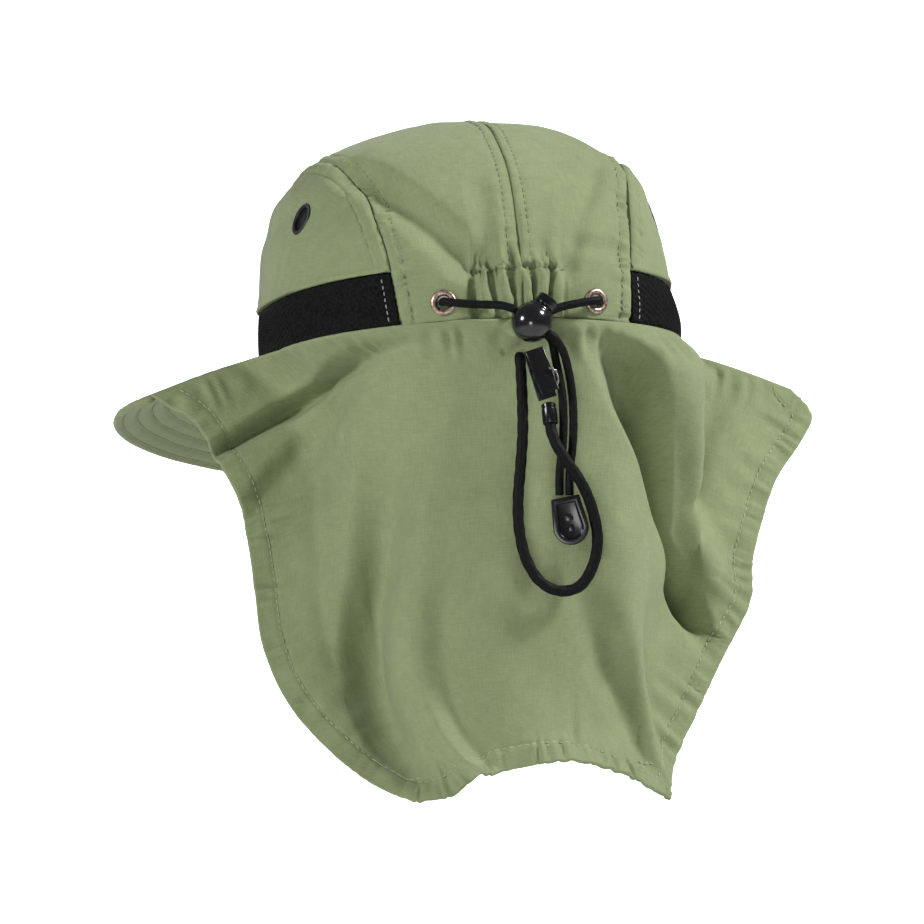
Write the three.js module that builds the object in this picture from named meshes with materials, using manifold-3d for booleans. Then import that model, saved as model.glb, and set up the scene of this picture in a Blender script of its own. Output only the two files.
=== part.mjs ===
// Legionnaire cap: a soft crown of four panels with knitted mesh bands at its sides, a wide bill,
// and a long neck cape. A drawcord with a spring toggle gathers the crown at the back, and a
// leash with a small spring clip hangs over the cape.
// Millimetres. +X is the wearer's left, -Y the front, +Z up. The origin is the middle of the
// head opening, level with the seam at the back where the cape joins the crown.
import * as THREE from 'three';
import { mergeVertices } from 'three/addons/utils/BufferGeometryUtils.js';
import Module from 'manifold-3d';

const wasm = await Module();
wasm.setup();

// Crown
const HEAD_HALF_WIDTH = 80;
const HEAD_HALF_LENGTH = 98;
const CROWN_HEIGHT = 83;
const CROWN_SQUARENESS = 2.4;
const RIM_DIP = 4;
const CROWN_CLOTH = 1.5;
const SEAM_GAP = 0.3;
const ARCH_HALF_WIDTH_LOW = 43;
const ARCH_HALF_WIDTH_HIGH = 55;
const BAND_HEIGHT_BACK = 20;
const BAND_HEIGHT_SIDE = 19;
const CASING_HEIGHT = 18;
const GATHER_HALF_WIDTH = 18;
const GATHER_PITCH = 7.2;
const GATHER_DEPTH = 1.3;

// Bill
const BILL_HALF_WIDTH = 132;
const BILL_WIDEST_BACK = -40;
const BILL_REACH = 75;
const BILL_REAR_EDGE = 5;
const BILL_SIDE_DROP = 22.5;
const BILL_FRONT_DROP = 43;
const BILL_DROP_CURVE = 0.37;
const BILL_THICKNESS = 2.8;
const BILL_CROWNING = 1.25;

// Neck cape
const CAPE_CLOTH = 1.2;
const CAPE_LENGTH = 170;
const CAPE_HALF_SPREAD = 130;
const CAPE_DEPTH = 100;
const CAPE_END_LEFT = 0.97;
const CAPE_END_RIGHT = 1.06;
const FOLD_DEPTH = 10;
const FOLD_BACKWARD = 0.8;
const EDGE_CALM = 0.14;

// Metal and plastic trim
const GROMMET_RADIUS = 4.6;
const GROMMET_HOLE_RADIUS = 2.4;
const GROMMET_ACROSS = 28;
const GROMMET_UP = 6.2;
const EYELET_RADIUS = 6.4;
const EYELET_HOLE_RADIUS = 4.2;
const EYELET_AROUND = 63.5;
const EYELET_UP = 42.6;
const FLANGE_THICKNESS = 0.9;
const BARREL_WALL = 0.6;
const TRIM_CLEARANCE = 0.3;

// Toggle, cords, leash clip and cord end
const TOGGLE_RADIUS = 7.2;
const TOGGLE_CENTRE = new THREE.Vector3(-0.6, 109, -2.6);
const PLUNGER_HEAD_RADIUS = 3.7;
const PLUNGER_HEAD_HEIGHT = 3.6;
const PLUNGER_SHAFT_RADIUS = 2.6;
const PLUNGER_STAND_OUT = 7;
const PLUNGER_TRAVEL = 3;
const DRAWCORD_DIAMETER = 3;
const LEASH_DIAMETER = 4;
const CLIP_LENGTH = 18;
const CLIP_WIDTH = 6.6;
const CLIP_WALL = 1.4;
const CLIP_PIVOT_RADIUS = 1.5;
const CLIP_CENTRE = new THREE.Vector3(-3.3, 109.2, -20.8);
const CLIP_PIN_RADIUS = 0.7;
const FERRULE_RADIUS = 2.7;
const FERRULE_MOUTH = 2.5;
const FERRULE_LENGTH = 5;
const CORD_END_WIDTH = 12.5;
const CORD_END_LENGTH = 17;
const CORD_END_THICKNESS = 4.6;
const CORD_END_RIM = 2.4;
const CORD_END_RECESS = 1.2;
const CORD_END_BOSS_RADIUS = 1.5;
const CORD_END_CENTRE = new THREE.Vector3(-12.2, 107.5, -72.5);

// Side outlines of the leash clip's parts, seen across it. Along is counted towards the jaws'
// tips as a share of half the length, up from the pin in multiples of its radius.
const CLIP_LOWER_JAW = [
  { along: -1, up: -4.6 },
  { along: 1, up: -2.3 },
  { along: 1, up: -0.43 },
  { along: 0.56, up: -2.57 },
  { along: -0.44, up: -2.57 },
  { along: -1, up: -2 },
];
const CLIP_EAR = [
  { along: -0.29, up: -3.14 },
  { along: 0.29, up: -3.14 },
  { along: 0.13, up: 1.29 },
  { along: -0.13, up: 1.29 },
];
const CLIP_NECK = [
  { along: -0.13, up: 0 },
  { along: 0.13, up: 0 },
  { along: 0.16, up: 3.7 },
  { along: -0.16, up: 3.7 },
];
const CLIP_UPPER_JAW = [
  { along: -0.78, up: 7.43 },
  { along: -0.71, up: 5.71 },
  { along: -0.22, up: 2.71 },
  { along: 0.33, up: 2.43 },
  { along: 0.62, up: 1.71 },
  { along: 1, up: 0.29 },
  { along: 1, up: 2 },
  { along: 0.33, up: 4.43 },
  { along: -0.22, up: 4.71 },
];

// Soft dents in the crown, from one point to another, as shares of the half width and the
// crown's height, seen from behind. Width and depth are shares of the casing's height.
const CROWN_DENTS = [
  { fromAcross: 0.6, fromUp: 0.66, toAcross: 0.24, toUp: 0.26, width: 0.6, depth: 0.28 },
  { fromAcross: -0.46, fromUp: 0.7, toAcross: -0.22, toUp: 0.24, width: 0.55, depth: 0.18 },
  { fromAcross: 0.14, fromUp: 0.55, toAcross: 0.15, toUp: 0.26, width: 0.4, depth: 0.1 },
  { fromAcross: -0.3, fromUp: 0.34, toAcross: -0.5, toUp: 0.3, width: 0.35, depth: 0.06 },
];

// How the soft sides lean, by height: outward from the plain crown as shares of the half width,
// most where the crown is widest and nothing at the middle.
const CROWN_LEAN = [
  { up: 0, left: -0.02, right: -0.03 },
  { up: 0.25, left: -0.02, right: -0.085 },
  { up: 0.5, left: 0.015, right: -0.08 },
  { up: 0.7, left: 0.085, right: -0.02 },
  { up: 0.85, left: 0.13, right: 0 },
  { up: 1, left: 0, right: 0 },
];

// The cape's free edge down each side, from below the bill's corner to the tip by the neck.
// Out is a share of the half spread, back of the cape's depth, down of its length.
const CAPE_LEFT_EDGE = [
  { out: 0.82, back: 0.12, down: 0.18 },
  { out: 0.755, back: 0.2, down: 0.28 },
  { out: 0.714, back: 0.27, down: 0.36 },
  { out: 0.703, back: 0.34, down: 0.445 },
  { out: 0.697, back: 0.43, down: 0.55 },
  { out: 0.69, back: 0.53, down: 0.665 },
  { out: 0.636, back: 0.63, down: 0.785 },
  { out: 0.54, back: 0.74, down: 0.885 },
  { out: 0.425, back: 0.84, down: 0.96 },
  { out: 0.33, back: 0.92, down: 0.996 },
];
const CAPE_RIGHT_EDGE = [
  { out: -1.03, back: 0.1, down: 0.18 },
  { out: -0.985, back: 0.15, down: 0.238 },
  { out: -0.88, back: 0.23, down: 0.33 },
  { out: -0.82, back: 0.29, down: 0.42 },
  { out: -0.772, back: 0.35, down: 0.51 },
  { out: -0.745, back: 0.41, down: 0.6 },
  { out: -0.63, back: 0.51, down: 0.73 },
  { out: -0.512, back: 0.61, down: 0.865 },
  { out: -0.437, back: 0.72, down: 0.946 },
  { out: -0.389, back: 0.9, down: 1.01 },
];
// The cape's bottom hem between the two tips, from left to right.
const CAPE_HEM = [
  { out: 0.237, back: 0.97, down: 0.984 },
  { out: 0.173, back: 1.0, down: 0.948 },
  { out: 0.055, back: 1.04, down: 0.93 },
  { out: -0.079, back: 1.06, down: 0.924 },
  { out: -0.194, back: 1.05, down: 0.938 },
  { out: -0.285, back: 1.0, down: 0.966 },
];
// Folds of the cape: where each one crosses the top edge and the hem, counted from the left
// corner as a share of the way round, the stretch of the drop that it fills, its half width as
// a share of the way round, and its height as a share of the fold depth. Minus is a valley.
const CAPE_FOLDS = [
  { top: 0.38, foot: -3.95, curve: 1.36, start: -0.05, end: 0.3, width: 0.04, height: -1 },
  { top: 0.36, foot: -0.75, curve: 1, start: -0.05, end: 0.5, width: 0.035, height: -0.5 },
  { top: 0.36, foot: 0.1, curve: 1, start: 0.15, end: 0.98, width: 0.042, height: -1.3 },
  { top: 0.38, foot: 0.26, curve: 1, start: 0.25, end: 1.3, width: 0.03, height: 0.6 },
  { top: 0.2, foot: 0.02, curve: 1, start: 0.1, end: 0.9, width: 0.05, height: 0.5 },
  { top: 0.47, foot: 0.5, curve: 1, start: 0.2, end: 1.3, width: 0.09, height: 0.5 },
  { top: 0.555, foot: 1.05, curve: 3, start: 0.05, end: 1.4, width: 0.045, height: 0.9 },
  { top: 0.57, foot: 1.55, curve: 1.9, start: -0.1, end: 0.8, width: 0.028, height: -2.4 },
  { top: 0.64, foot: 1.44, curve: 1.37, start: -0.05, end: 0.95, width: 0.045, height: 1.3 },
  { top: 0.84, foot: 0.9, curve: 1, start: 0, end: 0.4, width: 0.03, height: -0.3 },
  { top: 0.93, foot: 1, curve: 1, start: 0, end: 0.5, width: 0.04, height: 0.3 },
];

// Routes of the cords, each from where it leaves the object to its far end. Columns: x, y, z.
const DRAWCORD_LEFT_ROUTE = [
  [27.8, 93.4, 6.2], [28.3, 95.6, 6.2], [27.6, 98.3, 5.9], [24.6, 100.4, 5.3], [19, 102, 4.6],
  [13, 104.4, 4.1], [8.8, 107, 3.4], [5.2, 109, 1.9],
];
const DRAWCORD_RIGHT_ROUTE = [
  [-27.8, 93.4, 6.2], [-28.3, 95.6, 6.2], [-27.6, 98.1, 6], [-24.4, 99.9, 5.5],
  [-19, 100.9, 4.6], [-13, 101.6, 3.3], [-8.6, 102.6, 1.6], [-5.2, 104.6, -0.6],
];
const TAIL_ROUTE = [
  [-5.6, 109, -6.4], [-8.2, 108.8, -8.8], [-10, 108.2, -13], [-11.6, 107.6, -19.6],
  [-12.8, 107.4, -28], [-13, 107.4, -37], [-12.4, 107.4, -46], [-11.2, 107.4, -54],
  [-10.8, 107.5, -59], [-10.7, 107.5, -63.5],
];
const LEASH_ROUTE = [
  [2.2, 100.4, -14], [2.6, 102.6, -14.8], [2.7, 103.7, -18.6], [2.6, 104, -29.9],
  [3, 104.8, -41], [4.3, 105.6, -52.7], [5.8, 106.4, -64.9], [5.7, 106.6, -75.4],
  [3.6, 106.8, -85.6], [-1.4, 106.8, -93.6], [-8.2, 106.8, -96.9], [-15.2, 106.9, -95.4],
  [-20, 107.4, -88.6], [-21.8, 108.4, -79.6], [-20.2, 109.6, -69.6], [-16.6, 111, -60.6],
  [-11.2, 111.8, -52.2], [-7.8, 110.8, -46.2], [-6.4, 108.8, -41], [-6.3, 107.5, -36],
];

// Shared helpers

const clamp01 = (value) => Math.min(1, Math.max(0, value));
const mix = THREE.MathUtils.lerp;
const radians = THREE.MathUtils.degToRad;

function smooth(share) {
  const s = clamp01(share);
  return s * s * (3 - 2 * s);
}

function bump(distance) {
  return Math.abs(distance) < 1 ? (1 + Math.cos(Math.PI * distance)) / 2 : 0;
}

// A wall of cloth from a function that gives its outer and its inner point at each place of a
// grid, closed round its four edges.
function wall(rows, columns, pointsAt) {
  const positions = [];
  const index = [];
  const across = columns.length;
  for (const side of [0, 1]) {
    for (const row of rows) {
      for (const column of columns) positions.push(...pointsAt(row, column)[side].toArray());
    }
  }
  const outer = (i, j) => i * across + j;
  const inner = (i, j) => rows.length * across + outer(i, j);
  const quad = (a, b, c, d) => index.push(a, b, c, a, c, d);
  const lastRow = rows.length - 1;
  const lastColumn = across - 1;
  for (let i = 0; i < lastRow; i += 1) {
    for (let j = 0; j < lastColumn; j += 1) {
      quad(outer(i, j), outer(i, j + 1), outer(i + 1, j + 1), outer(i + 1, j));
      quad(inner(i, j), inner(i + 1, j), inner(i + 1, j + 1), inner(i, j + 1));
    }
    quad(outer(i, 0), outer(i + 1, 0), inner(i + 1, 0), inner(i, 0));
    quad(outer(i + 1, lastColumn), outer(i, lastColumn), inner(i, lastColumn), inner(i + 1, lastColumn));
  }
  for (let j = 0; j < lastColumn; j += 1) {
    quad(outer(0, j + 1), outer(0, j), inner(0, j), inner(0, j + 1));
    quad(outer(lastRow, j), outer(lastRow, j + 1), inner(lastRow, j + 1), inner(lastRow, j));
  }
  const geometry = new THREE.BufferGeometry();
  geometry.setAttribute('position', new THREE.Float32BufferAttribute(positions, 3));
  geometry.setIndex(index);
  return facingOut(geometry);
}

function enclosedVolume(geometry) {
  const p = geometry.getAttribute('position');
  const corner = (i) => new THREE.Vector3().fromBufferAttribute(p, geometry.index.getX(i));
  let total = 0;
  for (let i = 0; i < geometry.index.count; i += 3) {
    total += corner(i).dot(corner(i + 1).cross(corner(i + 2))) / 6;
  }
  return total;
}

function facingOut(geometry) {
  if (enclosedVolume(geometry) < 0) {
    const index = geometry.index;
    for (let i = 0; i < index.count; i += 3) {
      const first = index.getX(i);
      index.setX(i, index.getX(i + 1));
      index.setX(i + 1, first);
    }
  }
  return geometry;
}

function welded(geometry) {
  const copy = geometry.clone();
  copy.deleteAttribute('normal');
  copy.deleteAttribute('uv');
  return mergeVertices(copy, 1e-4);
}

function solid(geometry) {
  const merged = welded(geometry);
  return new wasm.Manifold(new wasm.Mesh({
    numProp: 3,
    vertProperties: Float32Array.from(merged.getAttribute('position').array),
    triVerts: Uint32Array.from(merged.index.array),
  }));
}

function geometryOf(manifold) {
  const mesh = manifold.getMesh();
  const geometry = new THREE.BufferGeometry();
  geometry.setAttribute('position', new THREE.BufferAttribute(mesh.vertProperties, mesh.numProp));
  geometry.setIndex(new THREE.BufferAttribute(mesh.triVerts, 1));
  return geometry;
}

function turnTo(direction) {
  return new THREE.Quaternion().setFromUnitVectors(new THREE.Vector3(0, 1, 0), direction);
}

// A round rod along a direction, from one distance to another from a point.
function rod(radius, from, to, centre, direction, sides = 12) {
  const geometry = new THREE.CylinderGeometry(radius, radius, to - from, sides);
  geometry.translate(0, (from + to) / 2, 0);
  geometry.applyQuaternion(turnTo(direction));
  return geometry.translate(centre.x, centre.y, centre.z);
}

function shares(count) {
  return Array.from({ length: count + 1 }, (_, i) => i / count);
}

// Crown surface

function rimPlan(around) {
  const sine = Math.sin(around);
  const cosine = Math.cos(around);
  const n = CROWN_SQUARENESS;
  const reach = (Math.abs(sine) ** n + Math.abs(cosine) ** n) ** (-1 / n);
  return new THREE.Vector2(HEAD_HALF_WIDTH * reach * sine, HEAD_HALF_LENGTH * reach * cosine);
}

function rimHeight(around) {
  return -RIM_DIP * Math.sin(around) ** 2;
}

function aroundOf(point) {
  return Math.atan2(point.x / HEAD_HALF_WIDTH, point.y / HEAD_HALF_LENGTH);
}

// The crown at an angle round the head and a height.
function crownAtHeight(around, height) {
  const n = CROWN_SQUARENESS;
  const shrink = (1 - Math.abs(height / CROWN_HEIGHT) ** n) ** (1 / n);
  const plan = rimPlan(around).multiplyScalar(shrink);
  return new THREE.Vector3(plan.x, plan.y, height);
}

// The crown at a distance from the middle and an angle from the back up over the top.
function crownAcross(across, over) {
  const n = CROWN_SQUARENESS;
  const left = 1 - Math.abs(across / HEAD_HALF_WIDTH) ** n;
  const cosine = Math.cos(over);
  const sine = Math.sin(over);
  const spread = Math.abs(cosine / HEAD_HALF_LENGTH) ** n + Math.abs(sine / CROWN_HEIGHT) ** n;
  const reach = (left / spread) ** (1 / n);
  return new THREE.Vector3(across, reach * cosine, reach * sine);
}

// The crown in a direction from the origin.
function crownToward(direction) {
  const n = CROWN_SQUARENESS;
  const size = Math.abs(direction.x / HEAD_HALF_WIDTH) ** n
    + Math.abs(direction.y / HEAD_HALF_LENGTH) ** n
    + Math.abs(direction.z / CROWN_HEIGHT) ** n;
  return direction.clone().multiplyScalar(size ** (-1 / n));
}

function crownNormal(point) {
  const n = CROWN_SQUARENESS - 1;
  const slope = (value, half) => Math.sign(value) * Math.abs(value / half) ** n / half;
  return new THREE.Vector3(
    slope(point.x, HEAD_HALF_WIDTH),
    slope(point.y, HEAD_HALF_LENGTH),
    slope(Math.max(point.z, 0), CROWN_HEIGHT),
  ).normalize();
}

// How far the cloth stands off the plain crown: gathers on the casing and soft dents above.
function crownRelief(point) {
  if (point.y < 0) return 0;
  const besides = bump(point.x / (GATHER_HALF_WIDTH * 1.25));
  const upward = 1 - smooth((point.z - CASING_HEIGHT * 0.8) / (CASING_HEIGHT * 0.9));
  const pleat = Math.cos((2 * Math.PI * point.x) / GATHER_PITCH);
  let relief = GATHER_DEPTH * besides ** 0.5 * upward * pleat;
  for (const dent of CROWN_DENTS) {
    const from = new THREE.Vector2(dent.fromAcross * HEAD_HALF_WIDTH, dent.fromUp * CROWN_HEIGHT);
    const to = new THREE.Vector2(dent.toAcross * HEAD_HALF_WIDTH, dent.toUp * CROWN_HEIGHT);
    const line = to.clone().sub(from);
    const offset = new THREE.Vector2(point.x, point.z).sub(from);
    const along = clamp01(offset.dot(line) / line.lengthSq());
    const aside = offset.sub(line.multiplyScalar(along)).length();
    relief -= dent.depth * CASING_HEIGHT * bump(aside / (dent.width * CASING_HEIGHT));
  }
  return relief;
}

function crownLean(point) {
  const up = clamp01(point.z / CROWN_HEIGHT);
  const after = Math.max(1, CROWN_LEAN.findIndex((row) => row.up >= up));
  const [low, high] = [CROWN_LEAN[after - 1], CROWN_LEAN[after]];
  const share = smooth((up - low.up) / (high.up - low.up));
  const side = point.x > 0 ? 'left' : 'right';
  const outward = mix(low[side], high[side], share) * Math.sign(point.x);
  return outward * HEAD_HALF_WIDTH * (point.x / HEAD_HALF_WIDTH) ** 2;
}

// The crown's cloth at a place of the plain crown: the point on its face and the way out.
function crownPlace(point) {
  const normal = crownNormal(point);
  const place = point.clone().addScaledVector(normal, crownRelief(point));
  place.x += crownLean(point);
  return { point: place, normal };
}

function crownFaces(plain, side) {
  const { point, normal } = crownPlace(plain.setX(plain.x * side));
  return [point, point.clone().addScaledVector(normal, -CROWN_CLOTH)];
}

// Crown panels

function archHalfWidth(over) {
  return mix(ARCH_HALF_WIDTH_LOW, ARCH_HALF_WIDTH_HIGH, Math.sin(over));
}

function archPoint(over) {
  return crownAcross(archHalfWidth(over), over);
}

// The angle over the crown at which the arched seam reaches a height at the back.
function archAngleAtHeight(height) {
  let low = -0.3;
  let high = Math.PI / 2;
  for (let step = 0; step < 40; step += 1) {
    const middle = (low + high) / 2;
    if (archPoint(middle).z < height) low = middle;
    else high = middle;
  }
  return low;
}

function bandTop(around) {
  return rimHeight(around) + mix(BAND_HEIGHT_BACK, BAND_HEIGHT_SIDE, Math.sin(around) ** 2);
}

const archAroundLow = aroundOf(archPoint(0));
const bandCornerOver = archAngleAtHeight(bandTop(archAroundLow));
const HALF_SEAM = SEAM_GAP / 2;

// Where both panels beside an arched seam have their rows, as shares of the way over.
const OVER_SHARES = [0.012, 0.04, 0.075, 0.115, 0.16, 0.21, 0.27, 0.34, 0.42, 0.5, 0.58, 0.66, 0.74,
  0.82, 0.9, 0.96, 0.988];

function overAt(share) {
  return mix(bandCornerOver, Math.PI - bandCornerOver, share);
}

function crownCentre(side) {
  const columns = [0, 0.06, 0.12, 0.18, 0.24, 0.3, 0.36, 0.43, 0.55, 0.7, 0.85, 1];
  const casingRows = [-1, -0.75, -0.5, -0.25];
  const rows = [...casingRows, ...OVER_SHARES, ...casingRows.map((row) => 1 - row).reverse()];
  return wall(rows, columns, (row, column) => {
    const rim = crownAcross(ARCH_HALF_WIDTH_LOW * column, 0);
    const rimAngle = Math.atan2(rimHeight(aroundOf(rim)), rim.y);
    let over = overAt(row);
    if (row < 0) over = mix(bandCornerOver, rimAngle, -row);
    if (row > 1) over = Math.PI - mix(bandCornerOver, rimAngle, row - 1);
    const across = mix(HALF_SEAM, archHalfWidth(over) - HALF_SEAM, column);
    return crownFaces(crownAcross(across, over), side);
  });
}

function crownSide(side) {
  const rows = [0, 0.14, 0.3, 0.48, 0.66, 0.84, 1];
  const rimCorner = aroundOf(archPoint(bandCornerOver));
  return wall(rows, OVER_SHARES, (row, share) => {
    const over = overAt(share);
    const around = mix(rimCorner, Math.PI - rimCorner, share);
    const seam = crownAcross(archHalfWidth(over) + HALF_SEAM, over);
    const foot = crownAtHeight(around, bandTop(around) + HALF_SEAM);
    const direction = seam.clone().normalize().lerp(foot.clone().normalize(), row);
    return crownFaces(crownToward(direction), side);
  });
}

function meshBand(side) {
  const columns = shares(20);
  return wall([0, 0.5, 1], columns, (row, column) => {
    const height = mix(0, bandTop(archAroundLow), row);
    const seam = archPoint(archAngleAtHeight(height));
    const margin = HALF_SEAM / HEAD_HALF_WIDTH;
    const start = aroundOf(seam) + margin;
    const around = mix(start, Math.PI - start, column);
    const low = rimHeight(around);
    const high = bandTop(around) - HALF_SEAM;
    return crownFaces(crownAtHeight(around, mix(low, high, row)), side);
  });
}

// Round trim set in the crown's cloth: a barrel through it with a flange on each face.
function trimRing(radius, holeRadius, place) {
  const barrel = holeRadius + BARREL_WALL;
  const above = TRIM_CLEARANCE;
  const below = -CROWN_CLOTH - 3 * TRIM_CLEARANCE;
  const profile = [
    [holeRadius, below - FLANGE_THICKNESS], [radius, below - FLANGE_THICKNESS],
    [radius, below], [barrel, below], [barrel, above], [radius, above],
    [radius - 0.5, above + FLANGE_THICKNESS], [holeRadius + 0.5, above + FLANGE_THICKNESS],
    [holeRadius, above + FLANGE_THICKNESS * 0.4], [holeRadius, below - FLANGE_THICKNESS],
  ].map(([x, y]) => new THREE.Vector2(x, y));
  const geometry = welded(new THREE.LatheGeometry(profile, 12));
  geometry.applyQuaternion(turnTo(place.normal));
  geometry.translate(...place.point.toArray());
  return facingOut(geometry);
}

function trimHole(holeRadius, place) {
  const reach = 3 * CROWN_CLOTH + GATHER_DEPTH;
  return solid(rod(holeRadius + BARREL_WALL + TRIM_CLEARANCE, -reach, reach, place.point, place.normal));
}

// Where a ring sits on the crown's cloth, square to the cloth there.
function trimPlace(plain) {
  const { point, normal } = crownPlace(plain);
  const nearby = (x, y, z) => crownPlace(crownToward(plain.clone().add(new THREE.Vector3(x, y, z)))).point;
  const upward = nearby(0, 0, GROMMET_RADIUS).sub(nearby(0, 0, -GROMMET_RADIUS));
  const aside = new THREE.Vector3(-normal.y, normal.x, 0).multiplyScalar(GROMMET_RADIUS);
  const around = nearby(aside.x, aside.y, 0).sub(nearby(-aside.x, -aside.y, 0));
  return { point, normal: around.cross(upward).normalize() };
}

function grommetPlace(side) {
  return trimPlace(crownAcross(side * GROMMET_ACROSS, Math.atan2(GROMMET_UP, HEAD_HALF_LENGTH)));
}

function eyeletPlace(side) {
  return trimPlace(crownAtHeight(side * radians(EYELET_AROUND), EYELET_UP));
}

function pierced(geometry, holeRadius, place) {
  return geometryOf(solid(geometry).subtract(trimHole(holeRadius, place)));
}

// Bill

const billReach = HEAD_HALF_LENGTH + BILL_REACH + BILL_WIDEST_BACK;
const billCornerTurn = Math.acos((BILL_WIDEST_BACK - BILL_REAR_EDGE) / billReach);
const billInnerCorner = Math.acos(BILL_REAR_EDGE / HEAD_HALF_LENGTH);

function billOuter(turn) {
  const cosine = Math.cos(turn);
  return new THREE.Vector3(
    BILL_HALF_WIDTH * Math.sin(turn),
    BILL_WIDEST_BACK - billReach * cosine,
    -mix(BILL_SIDE_DROP, BILL_FRONT_DROP, mix(cosine, cosine ** 2, BILL_DROP_CURVE)),
  );
}

function billTop(column, row) {
  const around = mix(billInnerCorner, 2 * Math.PI - billInnerCorner, column);
  const plan = rimPlan(around);
  const inset = 1 - CROWN_CLOTH / plan.length();
  const inner = new THREE.Vector3(plan.x * inset, plan.y * inset, rimHeight(around) - SEAM_GAP);
  const outer = billOuter(mix(billCornerTurn, -billCornerTurn, column));
  const point = inner.clone().lerp(outer, row);
  point.z = mix(inner.z, outer.z, row ** BILL_CROWNING);
  return point;
}

function bill() {
  const columns = shares(30);
  const rows = [0, 0.2, 0.45, 0.7, 0.9, 1];
  return wall(rows, columns, (row, column) => {
    const top = billTop(column, row);
    return [top, top.clone().setZ(top.z - BILL_THICKNESS)];
  });
}

// Neck cape

// The cape's top edge: behind the bill's rear edge, round the corner at the crown and then
// under the crown's rim to the middle of the back. One half, from the bill's outer corner.
function capeTopHalf(side, end) {
  const points = [];
  const behind = BILL_REAR_EDGE + 2 * SEAM_GAP + CAPE_CLOTH;
  for (const row of [end, 0.8, 0.6, 0.4, 0.2]) {
    const edge = billTop(0, row);
    points.push(new THREE.Vector3(side * edge.x, behind, edge.z));
  }
  for (const around of [78, 70, 60, 50, 40, 30, 20, 10]) {
    const { point } = crownPlace(crownAtHeight(side * radians(around), rimHeight(radians(around))));
    points.push(point.setZ(point.z - SEAM_GAP));
  }
  return points;
}

function capePlace({ out, back, down }) {
  return new THREE.Vector3(out * CAPE_HALF_SPREAD, back * CAPE_DEPTH, -down * CAPE_LENGTH);
}

const smoothCurve = (points) => new THREE.CatmullRomCurve3(points, false, 'centripetal');

const topLeft = capeTopHalf(1, CAPE_END_LEFT);
const topRight = capeTopHalf(-1, CAPE_END_RIGHT);
const topMiddle = new THREE.Vector3(0, HEAD_HALF_LENGTH, -SEAM_GAP);
const capeTop = smoothCurve([...topLeft, topMiddle, ...topRight.toReversed()]);
const leftPlaces = [topLeft[0], ...CAPE_LEFT_EDGE.map(capePlace)];
const rightPlaces = [topRight[0], ...CAPE_RIGHT_EDGE.map(capePlace)];
const capeLeft = smoothCurve(leftPlaces);
const capeRight = smoothCurve(rightPlaces);
const capeHem = smoothCurve([leftPlaces.at(-1), ...CAPE_HEM.map(capePlace), rightPlaces.at(-1)]);

// A sheet spanned between its four edges.
function capeSheet(share, drop) {
  const top = capeTop.getPointAt(clamp01(share));
  const foot = capeHem.getPointAt(clamp01(share));
  const left = capeLeft.getPointAt(clamp01(drop));
  const right = capeRight.getPointAt(clamp01(drop));
  const corner = (curve, at) => curve.getPointAt(at);
  const point = top.clone().lerp(foot, drop);
  const sides = left.clone().lerp(right, share);
  const upper = corner(capeTop, 0).lerp(corner(capeTop, 1), share);
  const lower = corner(capeHem, 0).lerp(corner(capeHem, 1), share);
  return point.add(sides).sub(upper.lerp(lower, drop));
}

function capeFold(share, drop) {
  let height = 0;
  for (const fold of CAPE_FOLDS) {
    const line = mix(fold.top, fold.foot, drop ** fold.curve);
    const window = bump((2 * drop - fold.start - fold.end) / (fold.end - fold.start));
    height += FOLD_DEPTH * fold.height * window ** 0.6 * bump((share - line) / (2 * fold.width));
  }
  return height * smooth((drop - 0.01) / 0.1) * smooth((1 - share) / EDGE_CALM);
}

function capeFaces(share, drop) {
  const step = 0.004;
  const along = capeSheet(Math.min(share + step, 1), drop).sub(capeSheet(Math.max(share - step, 0), drop));
  const down = capeSheet(share, Math.min(drop + step, 1)).sub(capeSheet(share, Math.max(drop - step, 0)));
  const normal = down.cross(along).normalize();
  normal.setZ(normal.z * smooth(drop / 0.15)).normalize();
  const backward = normal.clone().setY(normal.y + FOLD_BACKWARD).normalize();
  const outer = capeSheet(share, drop).addScaledVector(backward, capeFold(share, drop));
  return [outer, outer.clone().addScaledVector(normal, -CAPE_CLOTH)];
}

function neckCape() {
  return wall(shares(17), shares(40), (row, column) => capeFaces(column, row));
}

// Cords

const STRAND_OFFSET = (DRAWCORD_DIAMETER + 2 * SEAM_GAP) / 2;

function cord(route, diameter, steps, sides = 8) {
  const section = new THREE.Shape();
  for (let i = 0; i < sides; i += 1) {
    const turn = (2 * Math.PI * i) / sides;
    const x = (diameter / 2) * Math.cos(turn);
    const y = (diameter / 2) * Math.sin(turn);
    if (i === 0) section.moveTo(x, y);
    else section.lineTo(x, y);
  }
  section.closePath();
  const path = new THREE.CatmullRomCurve3(
    route.map(([x, y, z]) => new THREE.Vector3(x, y, z)),
    false,
    'centripetal',
  );
  return new THREE.ExtrudeGeometry(section, { steps, bevelEnabled: false, extrudePath: path });
}

// One of two strands that run side by side: one behind the other where they leave the toggle,
// and next to each other further down.
function strandOf(route, side) {
  const points = route.map(([x, y, z]) => new THREE.Vector3(x, y, z));
  return points.map((point, i) => {
    const next = points[Math.min(i + 1, points.length - 1)];
    const tangent = next.clone().sub(points[Math.max(i - 1, 0)]).normalize();
    const turn = smooth(i / 4);
    const aside = new THREE.Vector3(-turn, 1 - turn, 0).projectOnPlane(tangent).normalize();
    return point.clone().addScaledVector(aside, side * STRAND_OFFSET).toArray();
  });
}

// Toggle

const cordDirection = new THREE.Vector3(-0.79, 0, -0.61).normalize();
const rightCordDirection = new THREE.Vector3(-0.68, -0.65, 0.33).normalize();
const plungerDirection = new THREE.Vector3(-0.61, 0, 0.79).normalize();

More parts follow.
